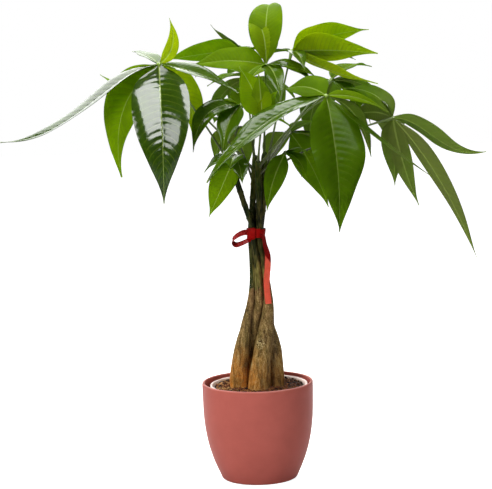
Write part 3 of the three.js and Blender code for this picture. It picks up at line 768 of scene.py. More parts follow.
# %% Streaks, speckles and flakes
WOODY_LEVELS = (0.262, 0.226)
PALE_LEVELS = (0.29, 0.24)
DARK_STREAK = colour(84, 66, 36)
PALE_STREAK = colour(192, 162, 108)
DARK_SPECKLE = colour(96, 74, 44)
PALE_SPECKLE = colour(196, 168, 112)
FURROW = colour(70, 54, 30)
FLAKE = colour(178, 158, 112)

streaks = grain(tree, stretched(tree, place, 0.22), 380.0, 5.0, 0.65)
dark_streak = between(tree, streaks, 0.3, 0.56, 0.6, 0.0)
streaked = blend(tree, dark_streak, patched, DARK_STREAK, "MULTIPLY")
pale_limit = between(tree, height, *PALE_LEVELS, 0.1, 0.48)
pale_streak = times(tree, between(tree, streaks, 0.5, 0.68), pale_limit)
streaked = blend(tree, pale_streak, streaked, PALE_STREAK)
woody = between(tree, height, *WOODY_LEVELS)
speckle = grain(tree, stretched(tree, place, 0.6), 900.0, 3.0, 0.7)
speckle_dark = times(tree, between(tree, speckle, 0.5, 0.36, 0.0, 0.36), woody)
streaked = blend(tree, speckle_dark, streaked, DARK_SPECKLE, "MULTIPLY")
speckle_pale = times(tree, between(tree, speckle, 0.53, 0.66, 0.0, 0.36), woody)
streaked = blend(tree, speckle_pale, streaked, PALE_SPECKLE)
furrow = between(tree, grain(tree, stretched(tree, place, 0.12), 260.0, 4.0, 0.6), 0.5, 0.36)
furrowed = blend(tree, times(tree, furrow, 0.5), streaked, FURROW, "MULTIPLY")
flake_cells = wire(tree, "ShaderNodeTexVoronoi",
                   {"Vector": stretched(tree, place, 2.2), "Scale": 420.0})
flake = between(tree, flake_cells.outputs["Distance"], 0.2, 0.08, 0.0, 0.5)
flaked = blend(tree, times(tree, flake, woody), furrowed, FLAKE)
print("speckled up to:", WOODY_LEVELS[0], "m")

# %% The scab, and the bark's finish
SCAB_PLACE = (0.005, -0.0228, 0.1745)
SCAB_REACH = (0.009, 0.003)
SCAB_PALE = colour(214, 190, 132)
SCAB_DARK = colour(44, 30, 18)
SHEEN_LEVELS = (0.23, 0.32)

from_scab = wire(tree, "ShaderNodeVectorMath", {0: place, 1: SCAB_PLACE}, operation="DISTANCE")
near_scab = between(tree, from_scab.outputs["Value"], *SCAB_REACH)
scab_grain = grain(tree, place, 620.0, 2.0)
pale_scab = times(tree, near_scab, between(tree, scab_grain, 0.46, 0.62, 0.0, 0.7))
dark_scab = times(tree, near_scab, between(tree, scab_grain, 0.5, 0.36))
scabbed = blend(tree, pale_scab, flaked, SCAB_PALE)
scabbed = blend(tree, dark_scab, scabbed, SCAB_DARK)
tree.links.new(between(tree, height, *SHEEN_LEVELS, 0.72, 0.4), shader.inputs["Roughness"])
coarse = bump(tree, streaks, 0.5, 0.0009)
flaking = bump(tree, maths(tree, "SUBTRACT", flake, furrow), 0.45, 0.0006, coarse)
give_looks(tree, shader, scabbed, flaking)
for trunk in trunks:
    trunk.data.materials.append(bark)
print("material:", bark.name)

# %% [markdown]
# ## Soil
#
# The potting mix is a lumpy body with coir chips and fibres on it. The body is turned like the
# pots, with many rings on its top, and the top is pushed up and down by noise. The chips and
# fibres are modelled once each and scattered by a seeded rule, so that they lie the same way
# every time.

# %% The soil's body
SOIL_RELIEF = 1.3
MOUND_HEIGHT = 2.4
MOUND_RADIUS = 30
COARSE_LUMP = 9
FINE_LUMP = 3
SOIL_RINGS = 26
SOIL_FIRST_RING = 5
SOIL_MIDDLE = 1.5
SOIL_CORNER = 3
SOIL_EDGE_DEPTH = 4
SOIL_FOOT = NURSERY_FLOOR + NURSERY_WALL + 0.3
SOIL_CLEAR = NURSERY_WALL + 0.3 + 0.5
SOIL_EDGE = nursery_radius(SOIL_LEVEL - SOIL_EDGE_DEPTH) - SOIL_CLEAR


def soil_top(x, y):
    """Height of the soil's surface at a place, in millimetres."""
    coarse_lumps = noise.noise(Vector((x / COARSE_LUMP, y / COARSE_LUMP, 0.3)))
    fine_lumps = noise.noise(Vector((x / FINE_LUMP, y / FINE_LUMP, 5.1)))
    mound = MOUND_HEIGHT * math.exp(-((x - NURSERY_OFFSET) ** 2 + y * y) / MOUND_RADIUS**2)
    return SOIL_LEVEL + SOIL_RELIEF * (1.3 * coarse_lumps + 0.8 * fine_lumps) + mound


soil_foot_radius = nursery_radius(SOIL_FOOT) - SOIL_CLEAR
soil_profile = [(SOIL_FIRST_RING, SOIL_FOOT), (soil_foot_radius - SOIL_CORNER, SOIL_FOOT),
                (soil_foot_radius, SOIL_FOOT + SOIL_CORNER),
                (SOIL_EDGE, SOIL_LEVEL - SOIL_EDGE_DEPTH)]
soil_profile += [(max(SOIL_MIDDLE, (SOIL_EDGE - 0.5) * (1 - i / SOIL_RINGS)), SOIL_LEVEL)
                 for i in range(SOIL_RINGS + 1)]
soil = turned("potting_mix", soil_profile, 110, NURSERY_OFFSET)
places = points_of(soil) / MM
for place in places:
    if place[2] > SOIL_LEVEL - 1:
        place[2] = soil_top(place[0], place[1])
place_points(soil, places * MM)
shade(soil, 60)
print("soil edge:", round(SOIL_EDGE, 1))

# %% [markdown]
# A chip is a bevelled flake, and a fibre is a thin bent tube. Each copy is turned, stretched and
# laid on the soil's surface. None lands inside a trunk. The bits' tones fall from left to right,
# so they are paler at the left and darker at the right.

# %% A free place on the soil
SPOT_INSET = 1.5
mix_random = random.Random(7)
# a little over one turn, in radians
FULL_TURN = 6.3


def inside_trunk(x, y, clear):
    for name in TRUNKS:
        axis, radius = trunk_at(name, SOIL_LEVEL)
        if math.hypot(x - axis.x, y - axis.y) < radius + clear:
            return True
    return False


def spot_on_soil(clear):
    """A place on the soil by chance, this clear of every trunk."""
    while True:
        distance = (SOIL_EDGE - SPOT_INSET) * math.sqrt(mix_random.random())
        angle = mix_random.uniform(0, 2 * math.pi)
        x = NURSERY_OFFSET + distance * math.cos(angle)
        y = distance * math.sin(angle)
        if not inside_trunk(x, y, clear):
            return x, y


def chance_turn(*tilts):
    """Tilts by chance about two axes, and any turn about the third."""
    return (*(mix_random.gauss(0, tilt) for tilt in tilts), mix_random.uniform(0, FULL_TURN))


def chance_tone(middle, spread):
    return min(1, max(0, mix_random.gauss(middle, spread)))


def paint_tone(piece, tone):
    """A number from 0 to 1 on every point of a piece, which its material reads."""
    attribute = piece.data.attributes.new("tone", "FLOAT", "POINT")
    attribute.data.foreach_set("value", np.full(len(piece.data.vertices), tone))


def scatter(model, place, turn, size, tone):
    """A copy of a small model, laid at a place in millimetres."""
    copy = twin(model)
    turned_and_sized = Euler(turn).to_matrix().to_4x4() @ Matrix.Diagonal((*size, 1))
    copy.data.transform(Matrix.Translation(Vector(place) * MM) @ turned_and_sized)
    paint_tone(copy, tone)
    return copy


# %% One chip
CHIP_SIZE = Vector((4.2, 2.4, 1.1))
CHIP_NARROWED = (0.7, 0.5, 1)
CHIP_PULLED = Vector((0.7, -0.5, 0.3))
CHIP_BEVEL = 0.22

chip = add("chip", bpy.ops.mesh.primitive_cube_add, size=1)
chip.scale = CHIP_SIZE * MM
bpy.ops.object.transform_apply(scale=True)
bpy.ops.object.mode_set(mode="EDIT")
select_points(chip, lambda at: at.x > 0 and at.z > 0)
bpy.ops.transform.resize(value=CHIP_NARROWED)
select_points(chip, lambda at: at.x < 0 and at.y > 0)
bpy.ops.transform.translate(value=CHIP_PULLED * MM)
bpy.ops.mesh.select_all(action="SELECT")
bpy.ops.mesh.bevel(offset=CHIP_BEVEL * MM, segments=1)
bpy.ops.object.mode_set(mode="OBJECT")
mend_normals(chip)
print("chip points:", len(chip.data.vertices))

# %% One fibre
FIBRE_RADIUS = 0.24
FIBRE_HALF = 6
# how far along, aside and up the handles of each end are
FIBRE_HANDLES = [(3, 2.6, 1.4), (3, 2.2, -1.2)]


def round_line(name, ends):
    """A line between two ends, each with its left and right handle, in millimetres."""
    line = add(name, bpy.ops.curve.primitive_bezier_curve_add)
    for knot, (at, left, right) in zip(line.data.splines[0].bezier_points, ends):
        knot.handle_left_type = knot.handle_right_type = "FREE"
        knot.co = Vector(at) * MM
        knot.handle_left, knot.handle_right = Vector(left) * MM, Vector(right) * MM
    return line


def tube(line, radius, round_steps, steps):
    """Makes a line into a closed tube, which keeps the line's name."""
    line.data.bevel_depth = radius * MM
    line.data.bevel_resolution = round_steps
    line.data.resolution_u = steps
    line.data.use_fill_caps = True
    name = line.name
    bpy.ops.object.convert(target="MESH")
    piece = fresh(name)
    mend_normals(piece)
    return piece


fibre_ends = [((at, 0, 0), (at - along, aside, up), (at + along, aside, up))
              for at, (along, aside, up) in zip((-FIBRE_HALF, FIBRE_HALF), FIBRE_HANDLES)]
fibre = tube(round_line("fibre", fibre_ends), FIBRE_RADIUS, 0, 7)
print("fibre points:", len(fibre.data.vertices))

# %% Chips and fibres on the soil
CHIPS = 620
CHIP_LIFT = 0.3
FIBRES = 210
FIBRE_LIFT = 0.9
SOIL_TONE = 0.1

bits = []
for _ in range(CHIPS):
    x, y = spot_on_soil(0.5)
    turn = chance_turn(0.35, 0.35)
    size = mix_random.uniform(0.45, 1.25)
    shape = (size * mix_random.uniform(0.7, 1.3), size, size * mix_random.uniform(0.8, 1.5))
    # the tones fall from left to right: paler bits at the left, darker at the right
    tone = chance_tone(0.4 - 0.004 * x, 0.22)
    bits.append(scatter(chip, (x, y, soil_top(x, y) + CHIP_LIFT), turn, shape, tone))
for _ in range(FIBRES):
    x, y = spot_on_soil(2.5)
    turn = chance_turn(0.5, 0.25)
    size = mix_random.uniform(0.45, 1.1)
    tone = chance_tone(0.75 - 0.005 * x, 0.15)
    bits.append(scatter(fibre, (x, y, soil_top(x, y) + FIBRE_LIFT), turn, (size,) * 3, tone))
paint_tone(soil, SOIL_TONE)
for model in (chip, fibre):
    bpy.data.objects.remove(model)
soil = join("potting_mix", [soil, *bits])
settle(soil, "soil", "soil")

# %% The soil's colours
# a bit's tone, colour
SOIL_COLOURS = [
    (0.0, colour(34, 22, 13)), (0.25, colour(66, 38, 20)), (0.5, colour(110, 62, 31)),
    (0.75, colour(156, 101, 54)), (1.0, colour(200, 156, 98)),
]
TONE_SWING = 0.3

coir, tree, shader = new_material("coir_mix", Roughness=0.9, IOR=1.4, Specular_IOR_Level=0.1)
place = own_place(tree)
tone = painted(tree, "tone")["Fac"]
lowered = maths(tree, "SUBTRACT", tone, TONE_SWING / 2)
tone_of_bit = maths(tree, "MULTIPLY_ADD", grain(tree, place, 300.0), TONE_SWING, lowered)
crumbs = mottled(tree, ramp(tree, tone_of_bit, SOIL_COLOURS), place, 160.0, 0.35)["Color"]
give_looks(tree, shader, crumbs, bump(tree, grain(tree, place, 900.0, 5.0), 0.7, 0.0008))
soil.data.materials.append(coir)
print("material:", coir.name)

# %% [markdown]
# ## One blade, modelled flat
#
# All blades of the plant are the same shape at different sizes, so one is modelled well and
# copied. It starts as a grid at the size of a large blade, with its rows along the midrib. The
# columns are crowded towards the midrib and raised towards the margins, which folds the blade a
# little. Then each row is scaled to the outline.

# %% The blade's outline
BLADE_LENGTH = 170.0
BLADE_WIDTH = 68.0
CROWDING = 1.35
VEINS = 20
VEIN_LEAN = 0.105
VEIN_CURL = 1.35

# share of the length, share of the greatest width
OUTLINE = [
    (0.0, 0.055), (0.04, 0.16), (0.1, 0.46), (0.18, 0.78), (0.27, 0.95), (0.37, 1.0),
    (0.48, 0.965), (0.6, 0.83), (0.7, 0.63), (0.8, 0.4), (0.88, 0.2), (0.94, 0.08),
    (0.975, 0.03), (1.0, 0.012),
]
# share of the half width, and the rise of the blade there as a share of the half width
CUP = [(0.0, 0.0), (0.07, 0.012), (0.2, 0.05), (0.45, 0.13), (0.72, 0.19), (0.9, 0.2),
       (1.0, 0.185)]


def vein_phase(across, along):
    """Counts the side veins of a half from the blade's base. Whole numbers are on a vein."""
    phase = VEINS * (along - VEIN_LEAN * np.abs(across) ** VEIN_CURL)
    return phase + np.where(across < 0, 0.5, 0.0)


def crowd(share):
    """Moves the grid's even columns towards the midrib."""
    return math.copysign(abs(share) ** CROWDING, share)


print("widest:", max(OUTLINE, key=lambda station: station[1]))


# %% Modelling the flat blade
def model_blade(name, columns, rows):
    """A flat blade at the size of a large one, its base at the origin and its tip along Y."""
    blade = add(name, bpy.ops.mesh.primitive_grid_add, x_subdivisions=columns,
                y_subdivisions=rows, size=1)
    blade.scale = (BLADE_WIDTH * MM, BLADE_LENGTH * MM, 1)
    blade.location = (0, BLADE_LENGTH * MM / 2, 0)
    bpy.ops.object.transform_apply(location=True, scale=True)
    half = BLADE_WIDTH * MM / 2
    bpy.ops.object.mode_set(mode="EDIT")
    spacing = 2 * half / columns
    targets = [crowd(i * spacing / half - 1) * half for i in range(columns + 1)]
    order = sorted(range(columns + 1), key=lambda i: abs(i - columns / 2))
    for i in order:
        at = i * spacing - half
        select_points(blade, lambda point, at=at: abs(point.x - at) < SAME_PLACE)
        rise = smooth_between(CUP, abs(targets[i]) / half)[0][0] * half
        bpy.ops.transform.translate(value=(targets[i] - at, 0, rise))
    for row in range(rows + 1):
        along = BLADE_LENGTH * MM * row / rows
        select_points(blade, lambda point, along=along: abs(point.y - along) < SAME_PLACE)
        share = smooth_between(OUTLINE, row / rows)[0][0]
        bpy.ops.transform.resize(value=(share, 1, share), center_override=(0, along, 0))
    bpy.ops.object.mode_set(mode="OBJECT")
    return blade


# %% [markdown]
# Between its side veins a money tree's blade swells into soft pillows, and the light breaks on
# them in bright bars. They are painted as a vertex group by formula and raised by a Displace
# modifier, and the midrib lies in a gutter between them. Each point is also told how far across
# and along the blade it is, and the veins are drawn from that later. Two models are made, one
# with many rows for the large blades and one with fewer for the small ones.

# %% Pillows between the veins
PILLOW = 0.62
GUTTER = 0.6
GUTTER_HALF = 1.5
GUTTER_FADE = 1.25
FLAT_MARGIN = 0.25
FULL_PILLOW_HALF = 16


def paint_and_push(blade, name, weights, strength):
    """Paints a vertex group and pushes the surface by it."""
    group = blade.vertex_groups.new(name=name)
    for i, weight in enumerate(weights):
        group.add([i], float(weight), "REPLACE")
    apply(blade, name, "DISPLACE", vertex_group=name, strength=strength * MM, mid_level=0.0)


def raise_pillows(blade):
    """Raises the pillows, sinks the midrib, and writes each point's share of the blade on it."""
    places = points_of(blade) / MM
    along = places[:, 1] / BLADE_LENGTH
    half = smooth_between(OUTLINE, along)[:, 0] * BLADE_WIDTH / 2
    across = places[:, 0] / half
    swell = 0.5 - 0.5 * np.cos(2 * math.pi * vein_phase(across, along))
    fade = np.clip((1 - np.abs(across)) / FLAT_MARGIN, 0, 1)
    fade = fade * np.clip(half / FULL_PILLOW_HALF, 0, 1)
    gutter = np.exp(-((np.abs(across) * half / GUTTER_HALF) ** 2))
    paint_and_push(blade, "pillows", np.clip(swell * fade * (1 - gutter), 0, 1), PILLOW)
    paint_and_push(blade, "gutter", gutter * np.clip(GUTTER_FADE - along, 0, 1), -GUTTER)
    blade.vertex_groups.clear()
    share = blade.data.attributes.new("leaf_share", "FLOAT_VECTOR", "POINT")
    share.data.foreach_set("vector", np.ravel(np.column_stack([across, along, half * MM])))
    return blade


large_blade = raise_pillows(model_blade("large_blade", 14, 120))
small_blade = raise_pillows(model_blade("small_blade", 10, 80))
print("points:", len(large_blade.data.vertices), len(small_blade.data.vertices))

# %% [markdown]
# ## Laying a blade along its arc
#
# A blade leaves the hub of its leaf and arches to its tip. The Curve modifier could bend the
# flat model, but it turns a blade over where it hangs past the vertical, so each copy is laid by
# the same sum that a weaver would do: how far along the arc, how far to the side, how far above
# it. A blade also twists a little and its margins wave, each by its own seeded amount.

# %% Laying one blade
LARGE_FROM = 74
TWIST = 10
TWIST_STARTS = 0.35
WAVE = (0.012, 0.03)
WAVE_CYCLES = (1.6, 2.6)
WAVE_LAG = 1.9
SWAY = 0.012
leaf_random = random.Random(21)


def arc_frame(hub, reach, arch, flick, shares):
    """Places and directions along a blade's arc.

    It stands out from its chord by arch x length, and flick bends its outer half further.
    """
    along = reach.normalized()
    outward = (UP - along * along.z).normalized() * reach.length
    knots = [hub, hub + reach * 0.3 + outward * (arch * 4 / 3),
             hub + reach * 0.63 + outward * (arch * 4 / 3 + flick), hub + reach]
    knots = [np.array(knot) for knot in knots]
    t = shares[:, None]
    places = sum(weight * knot for weight, knot in zip(cubic_weights(t), knots))
    ways = sum(weight * (knots[i + 1] - knots[i]) for i, weight in
               enumerate(((1 - t) ** 2, 2 * (1 - t) * t, t**2)))
    return places, ways / np.linalg.norm(ways, axis=1)[:, None]


def lay_blade(hub, right, away, up, width, arch, roll, tone, flick=0.0):
    """A copy of the model blade, from the hub to its tip. Lengths are in millimetres."""
    reach = Vector((right, away, up))
    length = reach.length
    model = large_blade if length > LARGE_FROM else small_blade
    copy = twin(model)
    flat = points_of(model) / MM
    share = np.empty(len(flat) * 3)
    model.data.attributes["leaf_share"].data.foreach_get("vector", share)
    share = share.reshape(-1, 3)
    across, along = share[:, 0], share[:, 1]
    twist = leaf_random.uniform(-TWIST, TWIST)
    wave = leaf_random.uniform(*WAVE)
    phase = leaf_random.uniform(0, FULL_TURN)
    cycles = leaf_random.uniform(*WAVE_CYCLES)
    sway = leaf_random.uniform(-SWAY, SWAY) * length
    places, ways = arc_frame(hub, reach, arch, flick, along)
    level = np.array(Vector((-away, right, 0)).normalized())
    angle = np.radians(roll + twist * (along - TWIST_STARTS))[:, None]
    side = level * np.cos(angle) + np.cross(ways, level) * np.sin(angle)
    face = np.cross(ways, side)
    size = width / BLADE_WIDTH
    ripples = np.sin(2 * math.pi * cycles * along + phase + (across < 0) * WAVE_LAG)
    lift = flat[:, 2] * size + wave * width * across**2 * ripples
    aside = flat[:, 0] * size + sway * np.sin(math.pi * along) * along
    places = places - side * aside[:, None] + face * lift[:, None]
    place_points(copy, places * MM)
    share[:, 2] *= size
    copy.data.attributes["leaf_share"].data.foreach_set("vector", np.ravel(share))
    look = copy.data.attributes.new("leaf_look", "FLOAT_VECTOR", "POINT")
    own_number = leaf_random.random()
    look.data.foreach_set("vector", np.tile((tone, own_number, length * MM), len(flat)))
    return copy


print("large above:", LARGE_FROM, "mm")

# %% [markdown]
# ## The leaf's colours
#
# A blade is deep green above, and glossiest where it is old and dark. It is paler and duller
# below, and light comes through it. So it gets two materials, one for each face, and both mix a
# shader that reflects with one that lets light through. The midrib and veins come from one node
# group that both materials use: it reads how far across and along a point is, and repeats the
# formula that raised the pillows. Far out at the right, the blades are a little dusty.

# %% The vein group
NET_STEP = 0.011
NET_SCALE = 420.0
veins, entry, leave = new_group(
    "leaf_veins",
    [("Share", VECTOR, (0, 0, 0)), ("Rib Width", FLOAT, 0.001)],
    [("Midrib", FLOAT), ("Veins", FLOAT), ("Relief", FLOAT), ("Net", FLOAT)],
)
# X is how far across, Y how far along, and Z the blade's half width there in metres
share = apart(veins, entry.outputs["Share"])
from_middle = maths(veins, "ABSOLUTE", share["X"])
lean = times(veins, maths(veins, "POWER", from_middle, VEIN_CURL), VEIN_LEAN)
climb = times(veins, maths(veins, "SUBTRACT", share["Y"], lean), VEINS)
left_half = maths(veins, "LESS_THAN", share["X"], 0.0)
phase = maths(veins, "MULTIPLY_ADD", left_half, 0.5, climb)
vein_line = between(veins, maths(veins, "PINGPONG", phase, 0.5), 0.075, 0.015)
vein_line = times(veins, vein_line, between(veins, from_middle, 0.98, 0.7))
from_rib = times(veins, from_middle, share["Z"])
rib = maths(veins, "DIVIDE", from_rib, entry.outputs["Rib Width"])
taper = between(veins, share["Y"], 0.1, 1.0, 1.0, 0.3)
rib_line = between(veins, maths(veins, "DIVIDE", rib, taper), 1.15, 0.5)
net_inputs = {"X": from_rib, "Y": times(veins, phase, NET_STEP), "Z": left_half}
net_place = wire(veins, "ShaderNodeCombineXYZ", net_inputs).outputs[0]
net_cells = wire(veins, "ShaderNodeTexVoronoi", {"Vector": net_place, "Scale": NET_SCALE},
                 feature="DISTANCE_TO_EDGE")
net_line = between(veins, net_cells.outputs["Distance"], 0.12, 0.0)
relief = maths(veins, "MAXIMUM", rib_line, times(veins, vein_line, 0.7))
relief = maths(veins, "MULTIPLY_ADD", net_line, 0.12, relief)
for label, output in (("Midrib", rib_line), ("Veins", vein_line), ("Relief", relief),
                      ("Net", net_line)):
    veins.links.new(output, leave.inputs[label])
print("group:", veins.name)

# %% The leaf's greens
# tone, colour of the face; a blade's tone is partly its age and partly painted light
TONES = [
    (0.0, colour(34, 58, 4)), (0.25, colour(58, 88, 3)), (0.5, colour(84, 116, 2)),
    (0.75, colour(116, 146, 2)), (1.0, colour(160, 180, 6)),
]
# tone, colour of the light that comes through
LIT_TONES = [
    (0.0, colour(58, 96, 4)), (0.25, colour(92, 136, 4)), (0.5, colour(130, 172, 6)),
    (0.75, colour(166, 204, 10)), (1.0, colour(214, 232, 40)),
]
UNDER_GREY = colour(138, 142, 72)
DUSTY_OLIVE = colour(158, 156, 104)
DUSTY_RANGE = (0.145, 0.18)
VEIN_GREEN = colour(150, 178, 50)
NET_GREEN = colour(140, 170, 40)
MIDRIB_GREEN = colour(170, 192, 92)
LIT_VEIN = colour(60, 96, 8)
LIGHT_THROUGH = 0.42
TONE_SPREAD = 0.45
print("tones:", len(TONES), "tones lit through:", len(LIT_TONES))


# %% The two faces of a leaf
def leaf_base(tree, place, own_tone, tone, lines, underside, vein_share):
    """A face's colour: the green of its tone, what dulls it, and its veins."""
    base = mottled(tree, ramp(tree, tone, TONES), place, 70.0, 0.12)["Color"]
    if underside:
        base = blend(tree, between(tree, own_tone, 0.4, 0.6, 0.3, 0.04), base, UNDER_GREY)
    dusty = between(tree, apart(tree, place)["X"], *DUSTY_RANGE, 0.0, 0.27)
    base = blend(tree, dusty, base, DUSTY_OLIVE)
    for label, amount, green in (("Veins", vein_share, VEIN_GREEN), ("Net", 0.1, NET_GREEN),
                                 ("Midrib", 0.8, MIDRIB_GREEN)):
        base = blend(tree, times(tree, lines[label], amount), base, green)
    return base


def leaf_material(name, underside, rib_width, vein_share, relief_strength):
    """One face of the leaf. The shader that reflects is mixed with one that lets light through."""
    material, tree, shader = new_material(name, IOR=1.5, Roughness=0.5, Specular_IOR_Level=0.01,
                                          Coat_Roughness=0.14, Coat_IOR=1.55)
    place = own_place(tree)
    own_tone = apart(tree, painted(tree, "leaf_look")["Vector"])["X"]
    inputs = {"Share": painted(tree, "leaf_share")["Vector"], "Rib Width": rib_width}
    lines = wire(tree, "ShaderNodeGroup", inputs, node_tree=veins).outputs
    patch = maths(tree, "SUBTRACT", grain(tree, place, 26.0, 3.0), 0.5)
    tone = maths(tree, "MULTIPLY_ADD", patch, TONE_SPREAD, own_tone, clamp=True)
    base = leaf_base(tree, place, own_tone, tone, lines, underside, vein_share)
    if not underside:
        tree.links.new(between(tree, own_tone, 0.22, 0.5, 1.0, 0.0), shader.inputs["Coat Weight"])
    relief = times(tree, lines["Relief"], 1.0 if underside else -1.0)
    height = maths(tree, "MULTIPLY_ADD", grain(tree, place, 1500.0, 2.0), 0.06, relief)
    give_looks(tree, shader, base, bump(tree, height, relief_strength, 0.0008))
    lit = blend(tree, times(tree, lines["Veins"], 0.62), ramp(tree, tone, LIT_TONES), LIT_VEIN)
    through = wire(tree, "ShaderNodeBsdfTranslucent", {"Color": lit}).outputs[0]
    both = wire(tree, "ShaderNodeMixShader",
                {"Fac": LIGHT_THROUGH, 1: shader.outputs[0], 2: through})
    tree.links.new(both.outputs[0], tree.nodes["Material Output"].inputs["Surface"])
    return material


leaf_top_face = leaf_material("leaf_upper_face", False, 0.0011, 0.34, 0.3)
leaf_under_face = leaf_material("leaf_under_face", True, 0.0012, 0.5, 0.42)
print("materials:", leaf_top_face.name, leaf_under_face.name)

# %% [markdown]
# ## Leaf stalks
#
# A stalk is a curve with a round bevel. It is subdivided while it is still a curve, so that each
# of its points can have its own thickness: swollen where it leaves the trunk, slim along its
# length, and swollen again at the hub where the blades meet.

# %% The stalk and the hub
STALK_RADIUS = 1.45
HUB_RADIUS = 2.9
STALK_CUTS = 14
# share of the length, share of the stalk's radius
STALK_GIRTH = [(0.0, 1.7), (0.06, 1.35), (0.18, 1.0), (0.6, 0.9), (0.88, 1.0), (0.96, 1.5),
               (1.0, 1.9)]


def grow_stalk(trunk_name, height, hub, sag):
    """A stalk from the middle of a trunk's green top to the hub, with the hub itself."""
    start = trunk_at(trunk_name, height)[0]
    middle = (start + hub) / 2 + UP * sag
    ends = [(at, *[at + (middle - at) * 2 / 3] * 2) for at in (start, hub)]
    line = round_line("stalk", ends)
    bpy.ops.object.mode_set(mode="EDIT")
    bpy.ops.curve.select_all(action="SELECT")
    bpy.ops.curve.subdivide(number_cuts=STALK_CUTS)
    bpy.ops.object.mode_set(mode="OBJECT")
    knots = line.data.splines[0].bezier_points
    for i, knot in enumerate(knots):
        knot.radius = smooth_between(STALK_GIRTH, i / (len(knots) - 1))[0][0]
    stalk = tube(line, STALK_RADIUS, 3, 3)
    knob = add("hub", bpy.ops.mesh.primitive_ico_sphere_add, subdivisions=3,
               radius=HUB_RADIUS * MM, location=hub * MM)
    bpy.ops.object.transform_apply(location=True)
    return join("stalk", [stalk, knob])


# %% The stalk's green
# painted shade: a stalk is dark low down, in the crown's shade, and brighter green higher up
STALK_SHADED_TO_LIT_GREENS = [(0.0, colour(62, 66, 26)), (0.5, colour(84, 104, 26)), (1.0, colour(116, 146, 34))]
STALK_SHADE_LEVELS = (0.38, 0.5)

stalk_green, tree, shader = new_material("stalk_green", Roughness=0.38, IOR=1.45)
place = own_place(tree)
green = ramp(tree, between(tree, apart(tree, place)["Z"], *STALK_SHADE_LEVELS), STALK_SHADED_TO_LIT_GREENS)
ridges = grain(tree, stretched(tree, place, 0.3), 700.0)
give_looks(tree, shader, mottled(tree, green, place, 60.0, 0.22)["Color"],
           bump(tree, ridges, 0.2, 0.0004))
print("material:", stalk_green.name)
